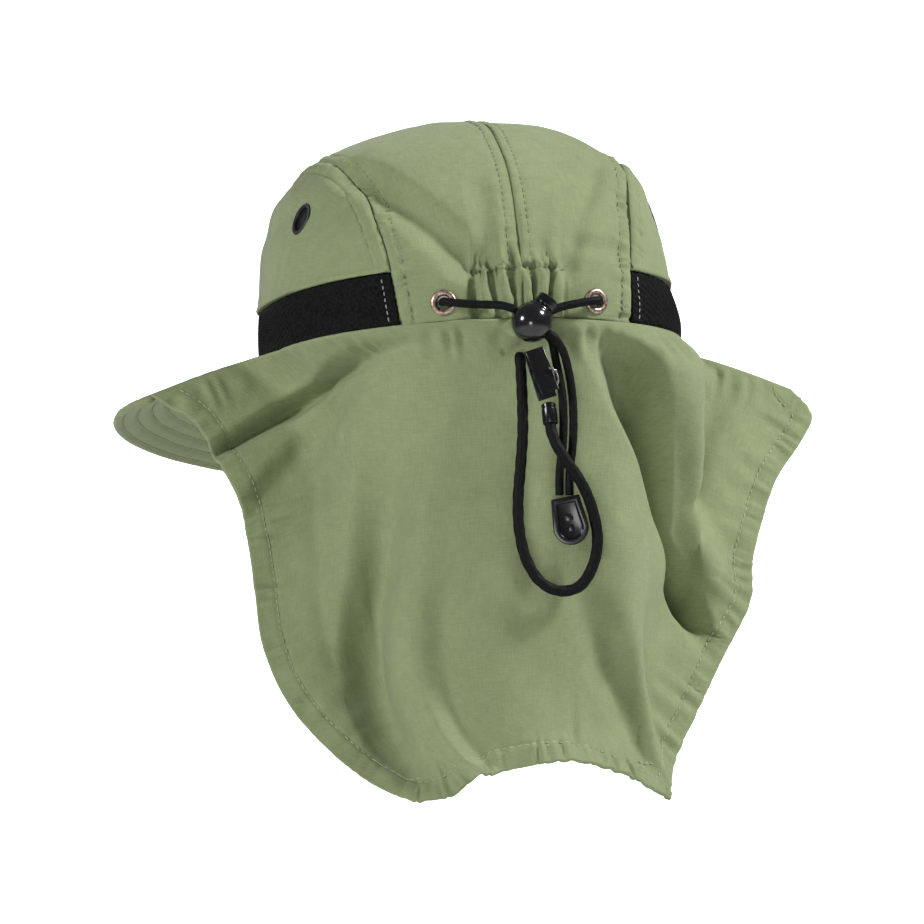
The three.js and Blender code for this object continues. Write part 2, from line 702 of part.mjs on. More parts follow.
function toggleBall() {
  const strand = new THREE.Vector3(0, STRAND_OFFSET, 0);
  const boreRadius = DRAWCORD_DIAMETER / 2 + TRIM_CLEARANCE;
  const ball = new THREE.SphereGeometry(TOGGLE_RADIUS, 18, 12);
  ball.translate(...TOGGLE_CENTRE.toArray());
  let body = solid(ball);
  const through = 2 * TOGGLE_RADIUS;
  const seat = PLUNGER_STAND_OUT - PLUNGER_TRAVEL - TRIM_CLEARANCE;
  const shaftDepth = PLUNGER_TRAVEL + 1;
  const cuts = [
    rod(boreRadius, -through, 0, TOGGLE_CENTRE, cordDirection),
    rod(boreRadius, 0, through, TOGGLE_CENTRE.clone().add(strand), cordDirection),
    rod(boreRadius, 0, through, TOGGLE_CENTRE.clone().sub(strand), cordDirection),
    rod(boreRadius, 0, through, TOGGLE_CENTRE, rightCordDirection),
    rod(PLUNGER_SHAFT_RADIUS + TRIM_CLEARANCE, -shaftDepth, through, TOGGLE_CENTRE, plungerDirection),
    rod(PLUNGER_HEAD_RADIUS + TRIM_CLEARANCE, seat, through, TOGGLE_CENTRE, plungerDirection),
  ];
  for (const cut of cuts) body = body.subtract(solid(cut));
  return geometryOf(body);
}

function togglePlunger() {
  const shaft = rod(PLUNGER_SHAFT_RADIUS, -0.6, PLUNGER_STAND_OUT + 0.5, TOGGLE_CENTRE, plungerDirection);
  const head = rod(
    PLUNGER_HEAD_RADIUS,
    PLUNGER_STAND_OUT,
    PLUNGER_STAND_OUT + PLUNGER_HEAD_HEIGHT,
    TOGGLE_CENTRE,
    plungerDirection,
  );
  return geometryOf(solid(shaft).add(solid(head)));
}

// Leash clip: two jaws on a cross pin, with a ferrule that grips the leash.

// The clip's own frame: X along it towards the jaws' tips, Y across, Z away from the cape.
const clipFrame = new THREE.Matrix4().makeBasis(
  new THREE.Vector3(0.287, 0, 0.958),
  new THREE.Vector3(0.958, 0, -0.287),
  new THREE.Vector3(0, 1, 0),
).setPosition(CLIP_CENTRE);

// A plate of the clip, as wide as given, from its outline in a table.
function plate(outline, width) {
  const corners = outline.map(({ along, up }) => new THREE.Vector2(
    (along * CLIP_LENGTH) / 2,
    up * CLIP_PIN_RADIUS,
  ));
  const geometry = new THREE.ExtrudeGeometry(new THREE.Shape(corners), { depth: width, bevelEnabled: false });
  geometry.translate(0, 0, -width / 2);
  return geometry.rotateX(Math.PI / 2);
}

function crossPin(radius, width) {
  return new THREE.CylinderGeometry(radius, radius, width, 12);
}

function clipBody() {
  const pin = crossPin(CLIP_PIN_RADIUS, CLIP_WIDTH - CLIP_WALL / 4);
  let body = solid(plate(CLIP_LOWER_JAW, CLIP_WIDTH)).add(solid(pin));
  for (const side of [-1, 1]) {
    const ear = plate(CLIP_EAR, CLIP_WALL).translate(0, side * (CLIP_WIDTH - CLIP_WALL) / 2, 0);
    body = body.add(solid(ear));
  }
  return geometryOf(body).applyMatrix4(clipFrame);
}

function clipLever() {
  const betweenEars = CLIP_WIDTH - 2 * CLIP_WALL - 2 * TRIM_CLEARANCE;
  const body = solid(crossPin(CLIP_PIVOT_RADIUS, betweenEars))
    .add(solid(plate(CLIP_NECK, betweenEars)))
    .add(solid(plate(CLIP_UPPER_JAW, CLIP_WIDTH)))
    .subtract(solid(crossPin(CLIP_PIN_RADIUS + TRIM_CLEARANCE, 2 * CLIP_WIDTH)));
  return geometryOf(body).applyMatrix4(clipFrame);
}

function clipFerrule() {
  const end = new THREE.Vector3(...LEASH_ROUTE.at(-1));
  const before = new THREE.Vector3(...LEASH_ROUTE.at(-2));
  const direction = end.clone().sub(before).normalize();
  const inner = LEASH_DIAMETER / 2 + TRIM_CLEARANCE;
  const profile = [
    [0, 1], [0, FERRULE_LENGTH], [FERRULE_RADIUS - 0.6, FERRULE_LENGTH],
    [FERRULE_RADIUS, FERRULE_LENGTH - 0.6], [FERRULE_RADIUS, -FERRULE_MOUTH], [inner, -FERRULE_MOUTH],
    [inner, 1], [0, 1],
  ].map(([x, y]) => new THREE.Vector2(x, y));
  const geometry = welded(new THREE.LatheGeometry(profile.reverse(), 16));
  geometry.applyQuaternion(turnTo(direction));
  geometry.translate(end.x, end.y, end.z);
  return facingOut(geometry);
}

// Cord end: a flat plastic shell with a raised U rim, which holds both tails of the drawcord.

function cordEndOutline(inset) {
  const half = CORD_END_WIDTH / 2 - inset;
  const top = CORD_END_LENGTH / 2 - inset;
  const shape = new THREE.Shape();
  shape.moveTo(half * 0.8, top);
  shape.lineTo(-half * 0.8, top);
  shape.lineTo(-half, -CORD_END_LENGTH / 2 + CORD_END_WIDTH / 2);
  shape.absarc(0, -CORD_END_LENGTH / 2 + CORD_END_WIDTH / 2, half, Math.PI, 2 * Math.PI, false);
  shape.closePath();
  return shape;
}

function cordEnd() {
  const extrude = (shape, from, to) => new THREE.ExtrudeGeometry(shape, {
    depth: to - from, bevelEnabled: false, curveSegments: 10,
  }).translate(0, 0, from);
  const half = CORD_END_THICKNESS / 2;
  const shell = solid(extrude(cordEndOutline(0), -half, half));
  const recess = solid(extrude(cordEndOutline(CORD_END_RIM), half - CORD_END_RECESS, half + 1));
  const boss = solid(crossPin(CORD_END_BOSS_RADIUS, CORD_END_RECESS + 0.4).rotateX(Math.PI / 2)
    .translate(0, 1, half - CORD_END_RECESS / 2 - 0.2));
  const tab = solid(new THREE.BoxGeometry(2, 2.4, 1).translate(0, -CORD_END_RIM - 0.2, half - 1));
  const geometry = geometryOf(shell.subtract(recess).add(boss).add(tab));
  geometry.applyMatrix4(new THREE.Matrix4().makeBasis(
    new THREE.Vector3(-0.966, 0.2, 0.17).normalize(),
    new THREE.Vector3(0.17, 0, 0.985),
    new THREE.Vector3(0.2, 0.966, -0.03).normalize(),
  ));
  return geometry.translate(...CORD_END_CENTRE.toArray());
}

// Materials and assembly

const material = (color, roughness, metalness = 0) => new THREE.MeshStandardMaterial({
  color, roughness, metalness,
});
const CLOTH_GREEN = 0x7d9468;
const BILL_GREEN = 0x758b61;
const MESH_BLACK = 0x151617;
const CORD_BLACK = 0x17171a;
const PLASTIC_BLACK = 0x0c0c0d;
const BRONZE = 0xa08470;

const cap = new THREE.Group();

function piece(name, geometry, finish) {
  const mesh = new THREE.Mesh(geometry, finish);
  mesh.name = name;
  cap.add(mesh);
}

for (const [label, side] of [['left', 1], ['right', -1]]) {
  const centre = facingOut(welded(crownCentre(side)));
  const grommetAt = grommetPlace(side);
  const eyeletAt = eyeletPlace(side);
  const grommet = trimRing(GROMMET_RADIUS, GROMMET_HOLE_RADIUS, grommetAt);
  const eyelet = trimRing(EYELET_RADIUS, EYELET_HOLE_RADIUS, eyeletAt);
  const pierce = pierced(centre, GROMMET_HOLE_RADIUS, grommetAt);
  piece(`crown_centre_${label}`, pierce, material(CLOTH_GREEN, 0.85));
  const panel = facingOut(welded(crownSide(side)));
  piece(`crown_side_${label}`, pierced(panel, EYELET_HOLE_RADIUS, eyeletAt), material(CLOTH_GREEN, 0.85));
  piece(`mesh_band_${label}`, facingOut(meshBand(side)), material(MESH_BLACK, 0.9));
  piece(`grommet_${label}`, grommet, material(BRONZE, 0.35, 1));
  piece(`vent_eyelet_${label}`, eyelet, material(PLASTIC_BLACK, 0.4));
}
piece('bill', bill(), material(BILL_GREEN, 0.85));
piece('neck_cape', neckCape(), material(CLOTH_GREEN, 0.85));
piece('drawcord_left', cord(DRAWCORD_LEFT_ROUTE, DRAWCORD_DIAMETER, 10), material(CORD_BLACK, 0.8));
piece('drawcord_right', cord(DRAWCORD_RIGHT_ROUTE, DRAWCORD_DIAMETER, 10), material(CORD_BLACK, 0.8));
piece('toggle_ball', toggleBall(), material(PLASTIC_BLACK, 0.15));
piece('toggle_plunger', togglePlunger(), material(PLASTIC_BLACK, 0.3));
piece('tail_cord_near', cord(strandOf(TAIL_ROUTE, 1), DRAWCORD_DIAMETER, 12), material(CORD_BLACK, 0.8));
piece('tail_cord_far', cord(strandOf(TAIL_ROUTE, -1), DRAWCORD_DIAMETER, 12), material(CORD_BLACK, 0.8));
piece('cord_end', cordEnd(), material(PLASTIC_BLACK, 0.35));
piece('leash_cord', cord(LEASH_ROUTE, LEASH_DIAMETER, 25), material(CORD_BLACK, 0.8));
piece('clip_ferrule', clipFerrule(), material(PLASTIC_BLACK, 0.4));
piece('clip_body', clipBody(), material(PLASTIC_BLACK, 0.35));
piece('clip_lever', clipLever(), material(PLASTIC_BLACK, 0.35));

export default cap;
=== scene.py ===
# %% [markdown]
# # A legionnaire cap, dressed for its picture
# The solid model of the cap is already there as a frame. This lesson lays cloth, thread, cord and
# trim over it. Sizes are in millimetres while a shape is worked out, and in metres in its mesh.

# %% Load the frame
import math

import bmesh
import bpy
import numpy as np
from mathutils import Matrix, Vector, kdtree


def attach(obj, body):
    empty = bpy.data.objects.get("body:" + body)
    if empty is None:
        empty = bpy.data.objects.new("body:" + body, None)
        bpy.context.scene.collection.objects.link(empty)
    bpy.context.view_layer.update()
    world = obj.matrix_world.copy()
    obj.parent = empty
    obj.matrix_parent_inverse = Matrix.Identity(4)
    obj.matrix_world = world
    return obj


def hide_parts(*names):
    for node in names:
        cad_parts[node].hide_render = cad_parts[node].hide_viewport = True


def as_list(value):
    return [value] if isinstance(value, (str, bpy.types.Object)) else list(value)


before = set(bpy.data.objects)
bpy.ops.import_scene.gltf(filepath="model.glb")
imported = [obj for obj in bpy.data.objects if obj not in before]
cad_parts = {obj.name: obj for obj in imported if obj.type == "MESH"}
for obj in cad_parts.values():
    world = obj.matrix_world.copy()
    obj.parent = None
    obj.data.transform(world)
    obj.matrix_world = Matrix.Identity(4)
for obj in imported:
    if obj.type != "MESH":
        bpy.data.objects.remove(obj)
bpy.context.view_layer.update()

# %% [markdown]
# ## The camera
# The cap is seen from behind and from a little below its rim. The camera stands 1.2 m away, and
# the side tilt of the picture is a roll about the line of sight. The lens follows from how large
# the cap is in the frame, on a 36 mm wide sensor.

# %% Stand the camera behind the cap
MM = 0.001
TARGET = Vector((0, 0, -40)) * MM
STAND_OFF = 1200 * MM
AZIMUTH = math.radians(168.2)
ELEVATION = math.radians(-3.14)
ROLL = math.radians(-1.77)
SIDE = 924
FOCAL_PIXELS = 3129.09
CENTRE_X, CENTRE_Y = 470.41, 447.32

away = Vector((
    math.sin(AZIMUTH) * math.cos(ELEVATION),
    -math.cos(AZIMUTH) * math.cos(ELEVATION),
    math.sin(ELEVATION),
))
level_right = (-away).cross(Vector((0, 0, 1))).normalized()
level_up = level_right.cross(-away)
right = level_right * math.cos(ROLL) + level_up * math.sin(ROLL)
up = level_up * math.cos(ROLL) - level_right * math.sin(ROLL)

lens = bpy.data.cameras.new("photo_camera")
lens.lens = FOCAL_PIXELS / SIDE * 36
lens.shift_x = (SIDE / 2 - CENTRE_X) / SIDE
lens.shift_y = (CENTRE_Y - SIDE / 2) / SIDE
lens.clip_end = 50
camera = bpy.data.objects.new("photo_camera", lens)
pose = Matrix((right, up, away)).transposed().to_4x4()
pose.translation = TARGET + away * STAND_OFF
camera.matrix_world = pose
bpy.context.scene.collection.objects.link(camera)
bpy.context.scene.camera = camera
print("camera at", [round(c, 3) for c in pose.translation])

# %% [markdown]
# ## Smooth lines
# Cords, hems and seams all start as a few points with a smooth line through them. The line is
# sampled closely, with its length at each sample, so that a place on it can be asked for by the
# share of the whole length.

# %% A smooth line through points
class Line:
    """A smooth line through points, with its samples and the distance along it at each one."""

    def __init__(self, points, samples=60):
        p = np.asarray(points, float)
        p = np.vstack([2 * p[0] - p[1], p, 2 * p[-1] - p[-2]])
        t = np.linspace(0, 1, samples, endpoint=False)[:, None]
        spans = []
        for a, b, c, d in zip(p[:-3], p[1:-2], p[2:-1], p[3:]):
            ab, bc, cd = (math.sqrt(np.linalg.norm(w - v)) for v, w in ((a, b), (b, c), (c, d)))
            start = bc * ((b - a) / ab - (c - a) / (ab + bc) + (c - b) / bc)
            end = bc * ((c - b) / bc - (d - b) / (bc + cd) + (d - c) / cd)
            spans.append(b + start * t + (3 * (c - b) - 2 * start - end) * t**2
                         + (2 * (b - c) + start + end) * t**3)
        self.points = np.vstack([*spans, p[-2:-1]])
        steps = np.linalg.norm(np.diff(self.points, axis=0), axis=1)
        self.along = np.concatenate([[0], np.cumsum(steps)])
        self.length = self.along[-1]

    def at(self, share):
        distance = np.clip(share, 0, 1) * self.length
        return np.stack([np.interp(distance, self.along, self.points[:, k]) for k in range(3)], axis=-1)


def smooth(share):
    s = np.clip(share, 0, 1)
    return s * s * (3 - 2 * s)


def bump(distance):
    return (1 + np.cos(np.pi * np.clip(distance, -1, 1))) / 2


def unit(vectors):
    return vectors / np.maximum(np.linalg.norm(vectors, axis=-1, keepdims=True), 1e-9)


# %% [markdown]
# ## A sheet from a grid
# Every cloth piece, and every cord too, starts as Blender's own flat grid. Its two grid
# directions are kept as a UV map in real lengths, for weave and braid, and then each point is
# moved to its place in space. A rolled-up grid makes a tube once its two long edges are merged.

# %% Make a mesh from a grid
COLLECTION = bpy.context.scene.collection


def grid_mesh(name, places, size, closed=False, weights=None):
    """A mesh whose point in row i and column j lies at places[i, j], in millimetres."""
    rows, columns = places.shape[:2]
    bm = bmesh.new()
    bm.loops.layers.uv.new("cloth")
    folded = bm.verts.layers.deform.verify()
    bmesh.ops.create_grid(bm, x_segments=columns - 1, y_segments=rows - 1, size=0.5, calc_uvs=True)
    cloth = bm.loops.layers.uv["cloth"]
    for face in bm.faces:
        face.smooth = True
        for loop in face.loops:
            loop[cloth].uv = (loop[cloth].uv[0] * size[0] * MM, loop[cloth].uv[1] * size[1] * MM)
    for vert in bm.verts:
        i = round((vert.co.y + 0.5) * (rows - 1))
        j = round((vert.co.x + 0.5) * (columns - 1))
        vert.co = Vector(places[i, j]) * MM
        if weights is not None:
            vert[folded][0] = float(weights[i, j])
    if closed:
        bmesh.ops.remove_doubles(bm, verts=bm.verts, dist=1e-7)
        bmesh.ops.holes_fill(bm, edges=[e for e in bm.edges if e.is_boundary], sides=0)
        bmesh.ops.recalc_face_normals(bm, faces=bm.faces)
    return finished(name, bm)


def finished(name, bm):
    """Turn a worked bmesh into an object that stands at the origin."""
    mesh = bpy.data.meshes.new(name)
    bm.to_mesh(mesh)
    bm.free()
    piece = bpy.data.objects.new(name, mesh)
    COLLECTION.objects.link(piece)
    return piece


def grid_normals(places):
    along = np.gradient(places, axis=1)
    down = np.gradient(places, axis=0)
    return unit(np.cross(along, down))


# %% [markdown]
# ## Cords
# The cords are braided from fine black yarn. A braid has two sets of strands that cross over each
# other, one winding left and one winding right, so the tube's surface is raised where a strand
# lies on top. Each cord follows the same points as its solid.

# %% Routes and sizes of the cords
CORD = 3.0
LEASH = 4.0
CORD_GAP = 0.3
DRAWCORD_LEFT = [
    (27.8, 93.4, 6.2), (28.3, 95.6, 6.2), (27.6, 98.3, 5.9), (24.6, 100.4, 5.3), (19, 102, 4.6),
    (13, 104.4, 4.1), (8.8, 107, 3.4), (5.2, 109, 1.9),
]
DRAWCORD_RIGHT = [
    (-27.8, 93.4, 6.2), (-28.3, 95.6, 6.2), (-27.6, 98.1, 6), (-24.4, 99.9, 5.5),
    (-19, 100.9, 4.6), (-13, 101.6, 3.3), (-8.6, 102.6, 1.6), (-5.2, 104.6, -0.6),
]
TAIL = [
    (-5.6, 109, -6.4), (-8.2, 108.8, -8.8), (-10, 108.2, -13), (-11.6, 107.6, -19.6),
    (-12.8, 107.4, -28), (-13, 107.4, -37), (-12.4, 107.4, -46), (-11.2, 107.4, -54),
    (-10.8, 107.5, -59), (-10.7, 107.5, -63.5),
]
LEASH_ROUTE = [
    (2.2, 100.4, -14), (2.6, 102.6, -14.8), (2.7, 103.7, -18.6), (2.6, 104, -29.9),
    (3, 104.8, -41), (4.3, 105.6, -52.7), (5.8, 106.4, -64.9), (5.7, 106.6, -75.4),
    (3.6, 106.8, -85.6), (-1.4, 106.8, -93.6), (-8.2, 106.8, -96.9), (-15.2, 106.9, -95.4),
    (-20, 107.4, -88.6), (-21.8, 108.4, -79.6), (-20.2, 109.6, -69.6), (-16.6, 111, -60.6),
    (-11.2, 111.8, -52.2), (-7.8, 110.8, -46.2), (-6.4, 108.8, -41), (-6.3, 107.5, -36),
]


def strand(route, side):
    """One of the two tails: behind each other at the toggle, side by side further down."""
    p = np.asarray(route, float)
    tangents = unit(np.vstack([p[1] - p[0], p[2:] - p[:-2], p[-1] - p[-2]]))
    turn = smooth(np.arange(len(p)) / 4)
    aside = np.stack([-turn, 1 - turn, np.zeros(len(p))], axis=-1)
    aside -= tangents * np.sum(aside * tangents, axis=1, keepdims=True)
    return p + unit(aside) * side * (CORD + 2 * CORD_GAP) / 2


# %% Braid a tube along a line
AROUND = 24
STRANDS = 8


def braided_cord(name, route, diameter, step=0.4, lie=6.0):
    """A braided tube. Lie is the length in which a strand winds once round, in diameters."""
    line = Line(route)
    rings = int(line.length / step) + 1
    share = np.linspace(0, 1, rings)
    centre = line.at(share)
    forward = unit(np.gradient(centre, axis=0))
    across = [Vector(forward[0]).orthogonal().normalized()]
    for ahead in forward[1:]:
        last = across[-1]
        across.append((last - Vector(ahead) * last.dot(Vector(ahead))).normalized())
    across = np.array(across)
    other = np.cross(forward, across)
    turn = np.linspace(0, 2 * math.pi, AROUND + 1)[None, :]
    wind = 2 * math.pi * share[:, None] * line.length / (lie * diameter)
    left = np.cos(STRANDS / 2 * (turn + wind))
    right_hand = np.cos(STRANDS / 2 * (turn - wind))
    radius = diameter / 2 * (0.95 + 0.05 * np.maximum(left, right_hand))
    radius[0] *= 0.9
    radius[-1] *= 0.9
    ring = across[:, None] * np.cos(turn)[..., None] + other[:, None] * np.sin(turn)[..., None]
    places = centre[:, None] + radius[..., None] * ring
    cord = grid_mesh(name, places, (math.pi * diameter, line.length), closed=True)
    print(f"{name}: {line.length:.1f} mm long, {rings} rings")
    return cord, line


def lay_cord(name, node, route, diameter):
    cord, line = braided_cord(name, route, diameter)
    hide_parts(node)
    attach(cord, "cap")
    return cord, line


drawcord_left, _ = lay_cord("drawcord_left_braid", "drawcord_left", DRAWCORD_LEFT, CORD)
drawcord_right, _ = lay_cord("drawcord_right_braid", "drawcord_right", DRAWCORD_RIGHT, CORD)
tail_near, tail_near_line = lay_cord("tail_near_braid", "tail_cord_near", strand(TAIL, 1), CORD)
tail_far, tail_far_line = lay_cord("tail_far_braid", "tail_cord_far", strand(TAIL, -1), CORD)
leash, leash_line = lay_cord("leash_braid", "leash_cord", LEASH_ROUTE, LEASH)

# %% [markdown]
# ## The crown's shape
# The crown is a rounded box: a superellipsoid, whose one power makes it fuller than an egg. The
# panels are parts of that one surface, and the same dents and the same lean act on all of them,
# so they meet along their seams.

# %% The plain crown and how it leans
HALF_WIDTH, HALF_LENGTH, HEIGHT = 80, 98, 83
FULLNESS = 2.4
RIM_DIP = 4
SEAM_GAP = 0.3
ARCH_LOW, ARCH_HIGH = 43, 55
BAND_BACK, BAND_SIDE = 20, 19
CASING = 18
GATHER_HALF_WIDTH, GATHER_PITCH, GATHER_DEPTH = 18, 6.6, 2.2
HALF_SIZES = np.array([HALF_WIDTH, HALF_LENGTH, HEIGHT])

# Columns: from across, from up, to across, to up, as shares of the half width and the height,
# then width and depth as shares of the casing's height.
DENTS = [
    (0.6, 0.66, 0.24, 0.26, 0.6, 0.28),
    (-0.46, 0.7, -0.22, 0.24, 0.55, 0.18),
    (0.14, 0.55, 0.15, 0.26, 0.4, 0.1),
    (-0.3, 0.34, -0.5, 0.3, 0.35, 0.06),
]
# Columns: height share, lean of the left side, lean of the right side, as shares of half width.
LEAN = np.array([
    (0, -0.02, -0.03), (0.25, -0.02, -0.085), (0.5, 0.015, -0.08),
    (0.7, 0.085, -0.02), (0.85, 0.13, 0), (1, 0, 0),
])


def stack(*parts):
    return np.stack(np.broadcast_arrays(*parts), axis=-1).astype(float)


def rim_plan(around):
    sine, cosine = np.sin(around), np.cos(around)
    reach = (np.abs(sine)**FULLNESS + np.abs(cosine)**FULLNESS)**(-1 / FULLNESS)
    return HALF_WIDTH * reach * sine, HALF_LENGTH * reach * cosine


def rim_height(around):
    return -RIM_DIP * np.sin(around)**2


def around_of(point):
    return np.arctan2(point[..., 0] / HALF_WIDTH, point[..., 1] / HALF_LENGTH)


def crown_at_height(around, height):
    shrink = (1 - np.abs(height / HEIGHT)**FULLNESS)**(1 / FULLNESS)
    x, y = rim_plan(around)
    return stack(x * shrink, y * shrink, height)


def crown_across(across, over):
    left = 1 - np.abs(across / HALF_WIDTH)**FULLNESS
    spread = (np.abs(np.cos(over) / HALF_LENGTH)**FULLNESS
              + np.abs(np.sin(over) / HEIGHT)**FULLNESS)
    reach = (left / spread)**(1 / FULLNESS)
    return stack(across, reach * np.cos(over), reach * np.sin(over))


def crown_toward(direction):
    size = np.sum(np.abs(direction / HALF_SIZES)**FULLNESS, axis=-1, keepdims=True)
    return direction * size**(-1 / FULLNESS)


def crown_normal(point):
    p = np.concatenate([point[..., :2], np.maximum(point[..., 2:], 0)], axis=-1)
    return unit(np.sign(p) * np.abs(p / HALF_SIZES)**(FULLNESS - 1) / HALF_SIZES)


def dent_depth(point):
    depth = 0
    for from_across, from_up, to_across, to_up, width, amount in DENTS:
        start = np.array([from_across * HALF_WIDTH, from_up * HEIGHT])
        run = np.array([to_across * HALF_WIDTH, to_up * HEIGHT]) - start
        offset = point[..., [0, 2]] - start
        along = np.clip(offset @ run / (run @ run), 0, 1)[..., None]
        aside = np.linalg.norm(offset - run * along, axis=-1)
        depth = depth + amount * CASING * bump(aside / (width * CASING))
    return depth


def gathers(point):
    """The drawn-up casing: round ridges with sharp valleys, and finer pleats at its seam."""
    x, z = point[..., 0], point[..., 2]
    beside = smooth((GATHER_HALF_WIDTH + 0.5 - np.abs(x - 1)) / 3)
    upward = 1 - smooth((z - CASING * 0.8) / (CASING * 0.9))
    bend = 0.9 * np.sin(z / 5 + x / 6)
    ridge = 2 * np.abs(np.cos(math.pi * (x + bend) / GATHER_PITCH))**0.6 - 1
    fine = 1.3 * np.cos(2 * math.pi * (x + bend) / (GATHER_PITCH * 0.47)) * bump((z - CASING) / 8)
    end_fold = -2.6 * bump((x - 17.6 - 0.06 * (z - 9)) / 2.4) * bump((z - 8) / 15)
    rising = 1.7 * np.cos(2 * math.pi * x * (1 - (z - CASING) / 110) / 9.5 + z / 14)
    rising = rising * smooth((z - CASING) / 3) * np.exp(-np.maximum(z - CASING, 0) / 15) * beside
    return beside * upward * (GATHER_DEPTH * ridge + fine) + end_fold + rising


def crown_relief(point):
    return np.where(point[..., 1] < 0, 0, gathers(point) - dent_depth(point))


def crown_lean(point):
    share = np.clip(point[..., 2] / HEIGHT, 0, 1)
    after = np.clip(np.searchsorted(LEAN[:, 0], share), 1, len(LEAN) - 1)
    low, high = LEAN[after - 1], LEAN[after]
    blend = smooth((share - low[..., 0]) / (high[..., 0] - low[..., 0]))
    side = np.where(point[..., 0] > 0, 1, 2)
    lean_low = np.take_along_axis(low, side[..., None], -1)[..., 0]
    lean_high = np.take_along_axis(high, side[..., None], -1)[..., 0]
    outward = (lean_low + (lean_high - lean_low) * blend) * np.sign(point[..., 0])
    return outward * HALF_WIDTH * (point[..., 0] / HALF_WIDTH)**2


def crown_place(plain):
    place = plain + crown_normal(plain) * np.asarray(crown_relief(plain))[..., None]
    place[..., 0] += crown_lean(plain)
    return place


def mirrored(plain, side):
    """The same places on the side that is asked for: 1 is the wearer's left and -1 the right."""
    return plain * np.array([side, 1, 1])


def arch_half_width(over):
    return ARCH_LOW + (ARCH_HIGH - ARCH_LOW) * np.sin(over)


def arch_angle_at(height):
    over = np.linspace(-0.3, math.pi / 2, 4000)
    return np.interp(height, crown_across(arch_half_width(over), over)[..., 2], over)


def band_top(around):
    return rim_height(around) + BAND_BACK + (BAND_SIDE - BAND_BACK) * np.sin(around)**2


arch_around = around_of(crown_across(arch_half_width(0.0), 0.0))
corner_over = arch_angle_at(band_top(arch_around))

# %% [markdown]
# ## Seams that pull the cloth
# A sewn seam is never flat. The cloth dips into the seam line, the folded edge beside it stands
# up, and the thread draws the cloth into small puckers that die out a few millimetres away. All
# of it depends only on how far a point is from the seam and how far along, so the nearest point
# of the seam is looked up in a tree for every point of the sheet.

# %% Distance to a seam, and the puckers beside it
def beside(points, line, spacing=1.0):
    """For each point, its distance from the line and how far along the line it is."""
    count = max(8, int(line.length / spacing))
    marks = line.at(np.linspace(0, 1, count))
    tree = kdtree.KDTree(count)
    for k, mark in enumerate(marks):
        tree.insert(mark, k)
    tree.balance()
    flat = points.reshape(-1, 3)
    nearest = np.array([tree.find(p)[1] for p in flat])
    tangents = unit(np.gradient(marks, axis=0))[nearest]
    offset = flat - marks[nearest]
    forward = np.sum(offset * tangents, axis=1)
    forward = np.clip(forward, -spacing, spacing)
    distance = np.linalg.norm(offset - tangents * forward[:, None], axis=1)
    along = nearest * line.length / (count - 1) + forward
    return distance.reshape(points.shape[:-1]), along.reshape(points.shape[:-1])


def puckers(distance, along, middle, reach, pitch, height, seed=0.0):
    """Ripples across a seam, of uneven length and strength, strongest at a distance from it."""
    phase = 2 * math.pi * along / pitch
    phase = phase + 1.9 * np.sin(phase / 3.7 + seed) + 1.1 * np.sin(phase / 1.9 + 2 * seed)
    strength = 0.62 + 0.38 * np.sin(phase / 5.3 + 3 * seed)
    return height * strength * np.sin(phase) * bump((distance - middle) / reach)


def seam_relief(distance, along, row, seed, pitch=4.2, pull=0.3):
    """A seam's dip, the padded allowance beside it, and the dimple and puckers of its stitches."""
    dip = -0.9 * np.exp(-(distance / 0.8)**2)
    allowance = 0.35 * (1 - smooth((distance - row + 0.4) / 1.2))
    dimple = -0.5 * np.exp(-((distance - row) / 0.6)**2)
    return dip + allowance + dimple + puckers(distance, along, row * 0.8, row * 1.1, pitch, pull, seed)


rng = np.random.default_rng(7)
WAVES = rng.normal(size=(24, 3))
WAVES /= np.linalg.norm(WAVES, axis=1, keepdims=True)
PHASES = rng.uniform(0, 2 * math.pi, 24)


def ripples(points, length, seed=0):
    """Soft uneven waves in space with about the given wave length, between -1 and 1."""
    total = 0
    for k in range(8):
        wave = WAVES[(k + 5 * seed) % 24]
        turns = points @ wave / (length * (0.7 + 0.08 * k))
        total = total + np.sin(turns * 2 * math.pi + PHASES[(k + 3 * seed) % 24])
    return total / 8


# %% [markdown]
# ## From a surface to cloth
# A panel's points are moved along their own normals by its relief, and the Solidify modifier then
# gives the cloth its thickness inwards. Where a hem is folded double, a vertex group makes it
# thicker.

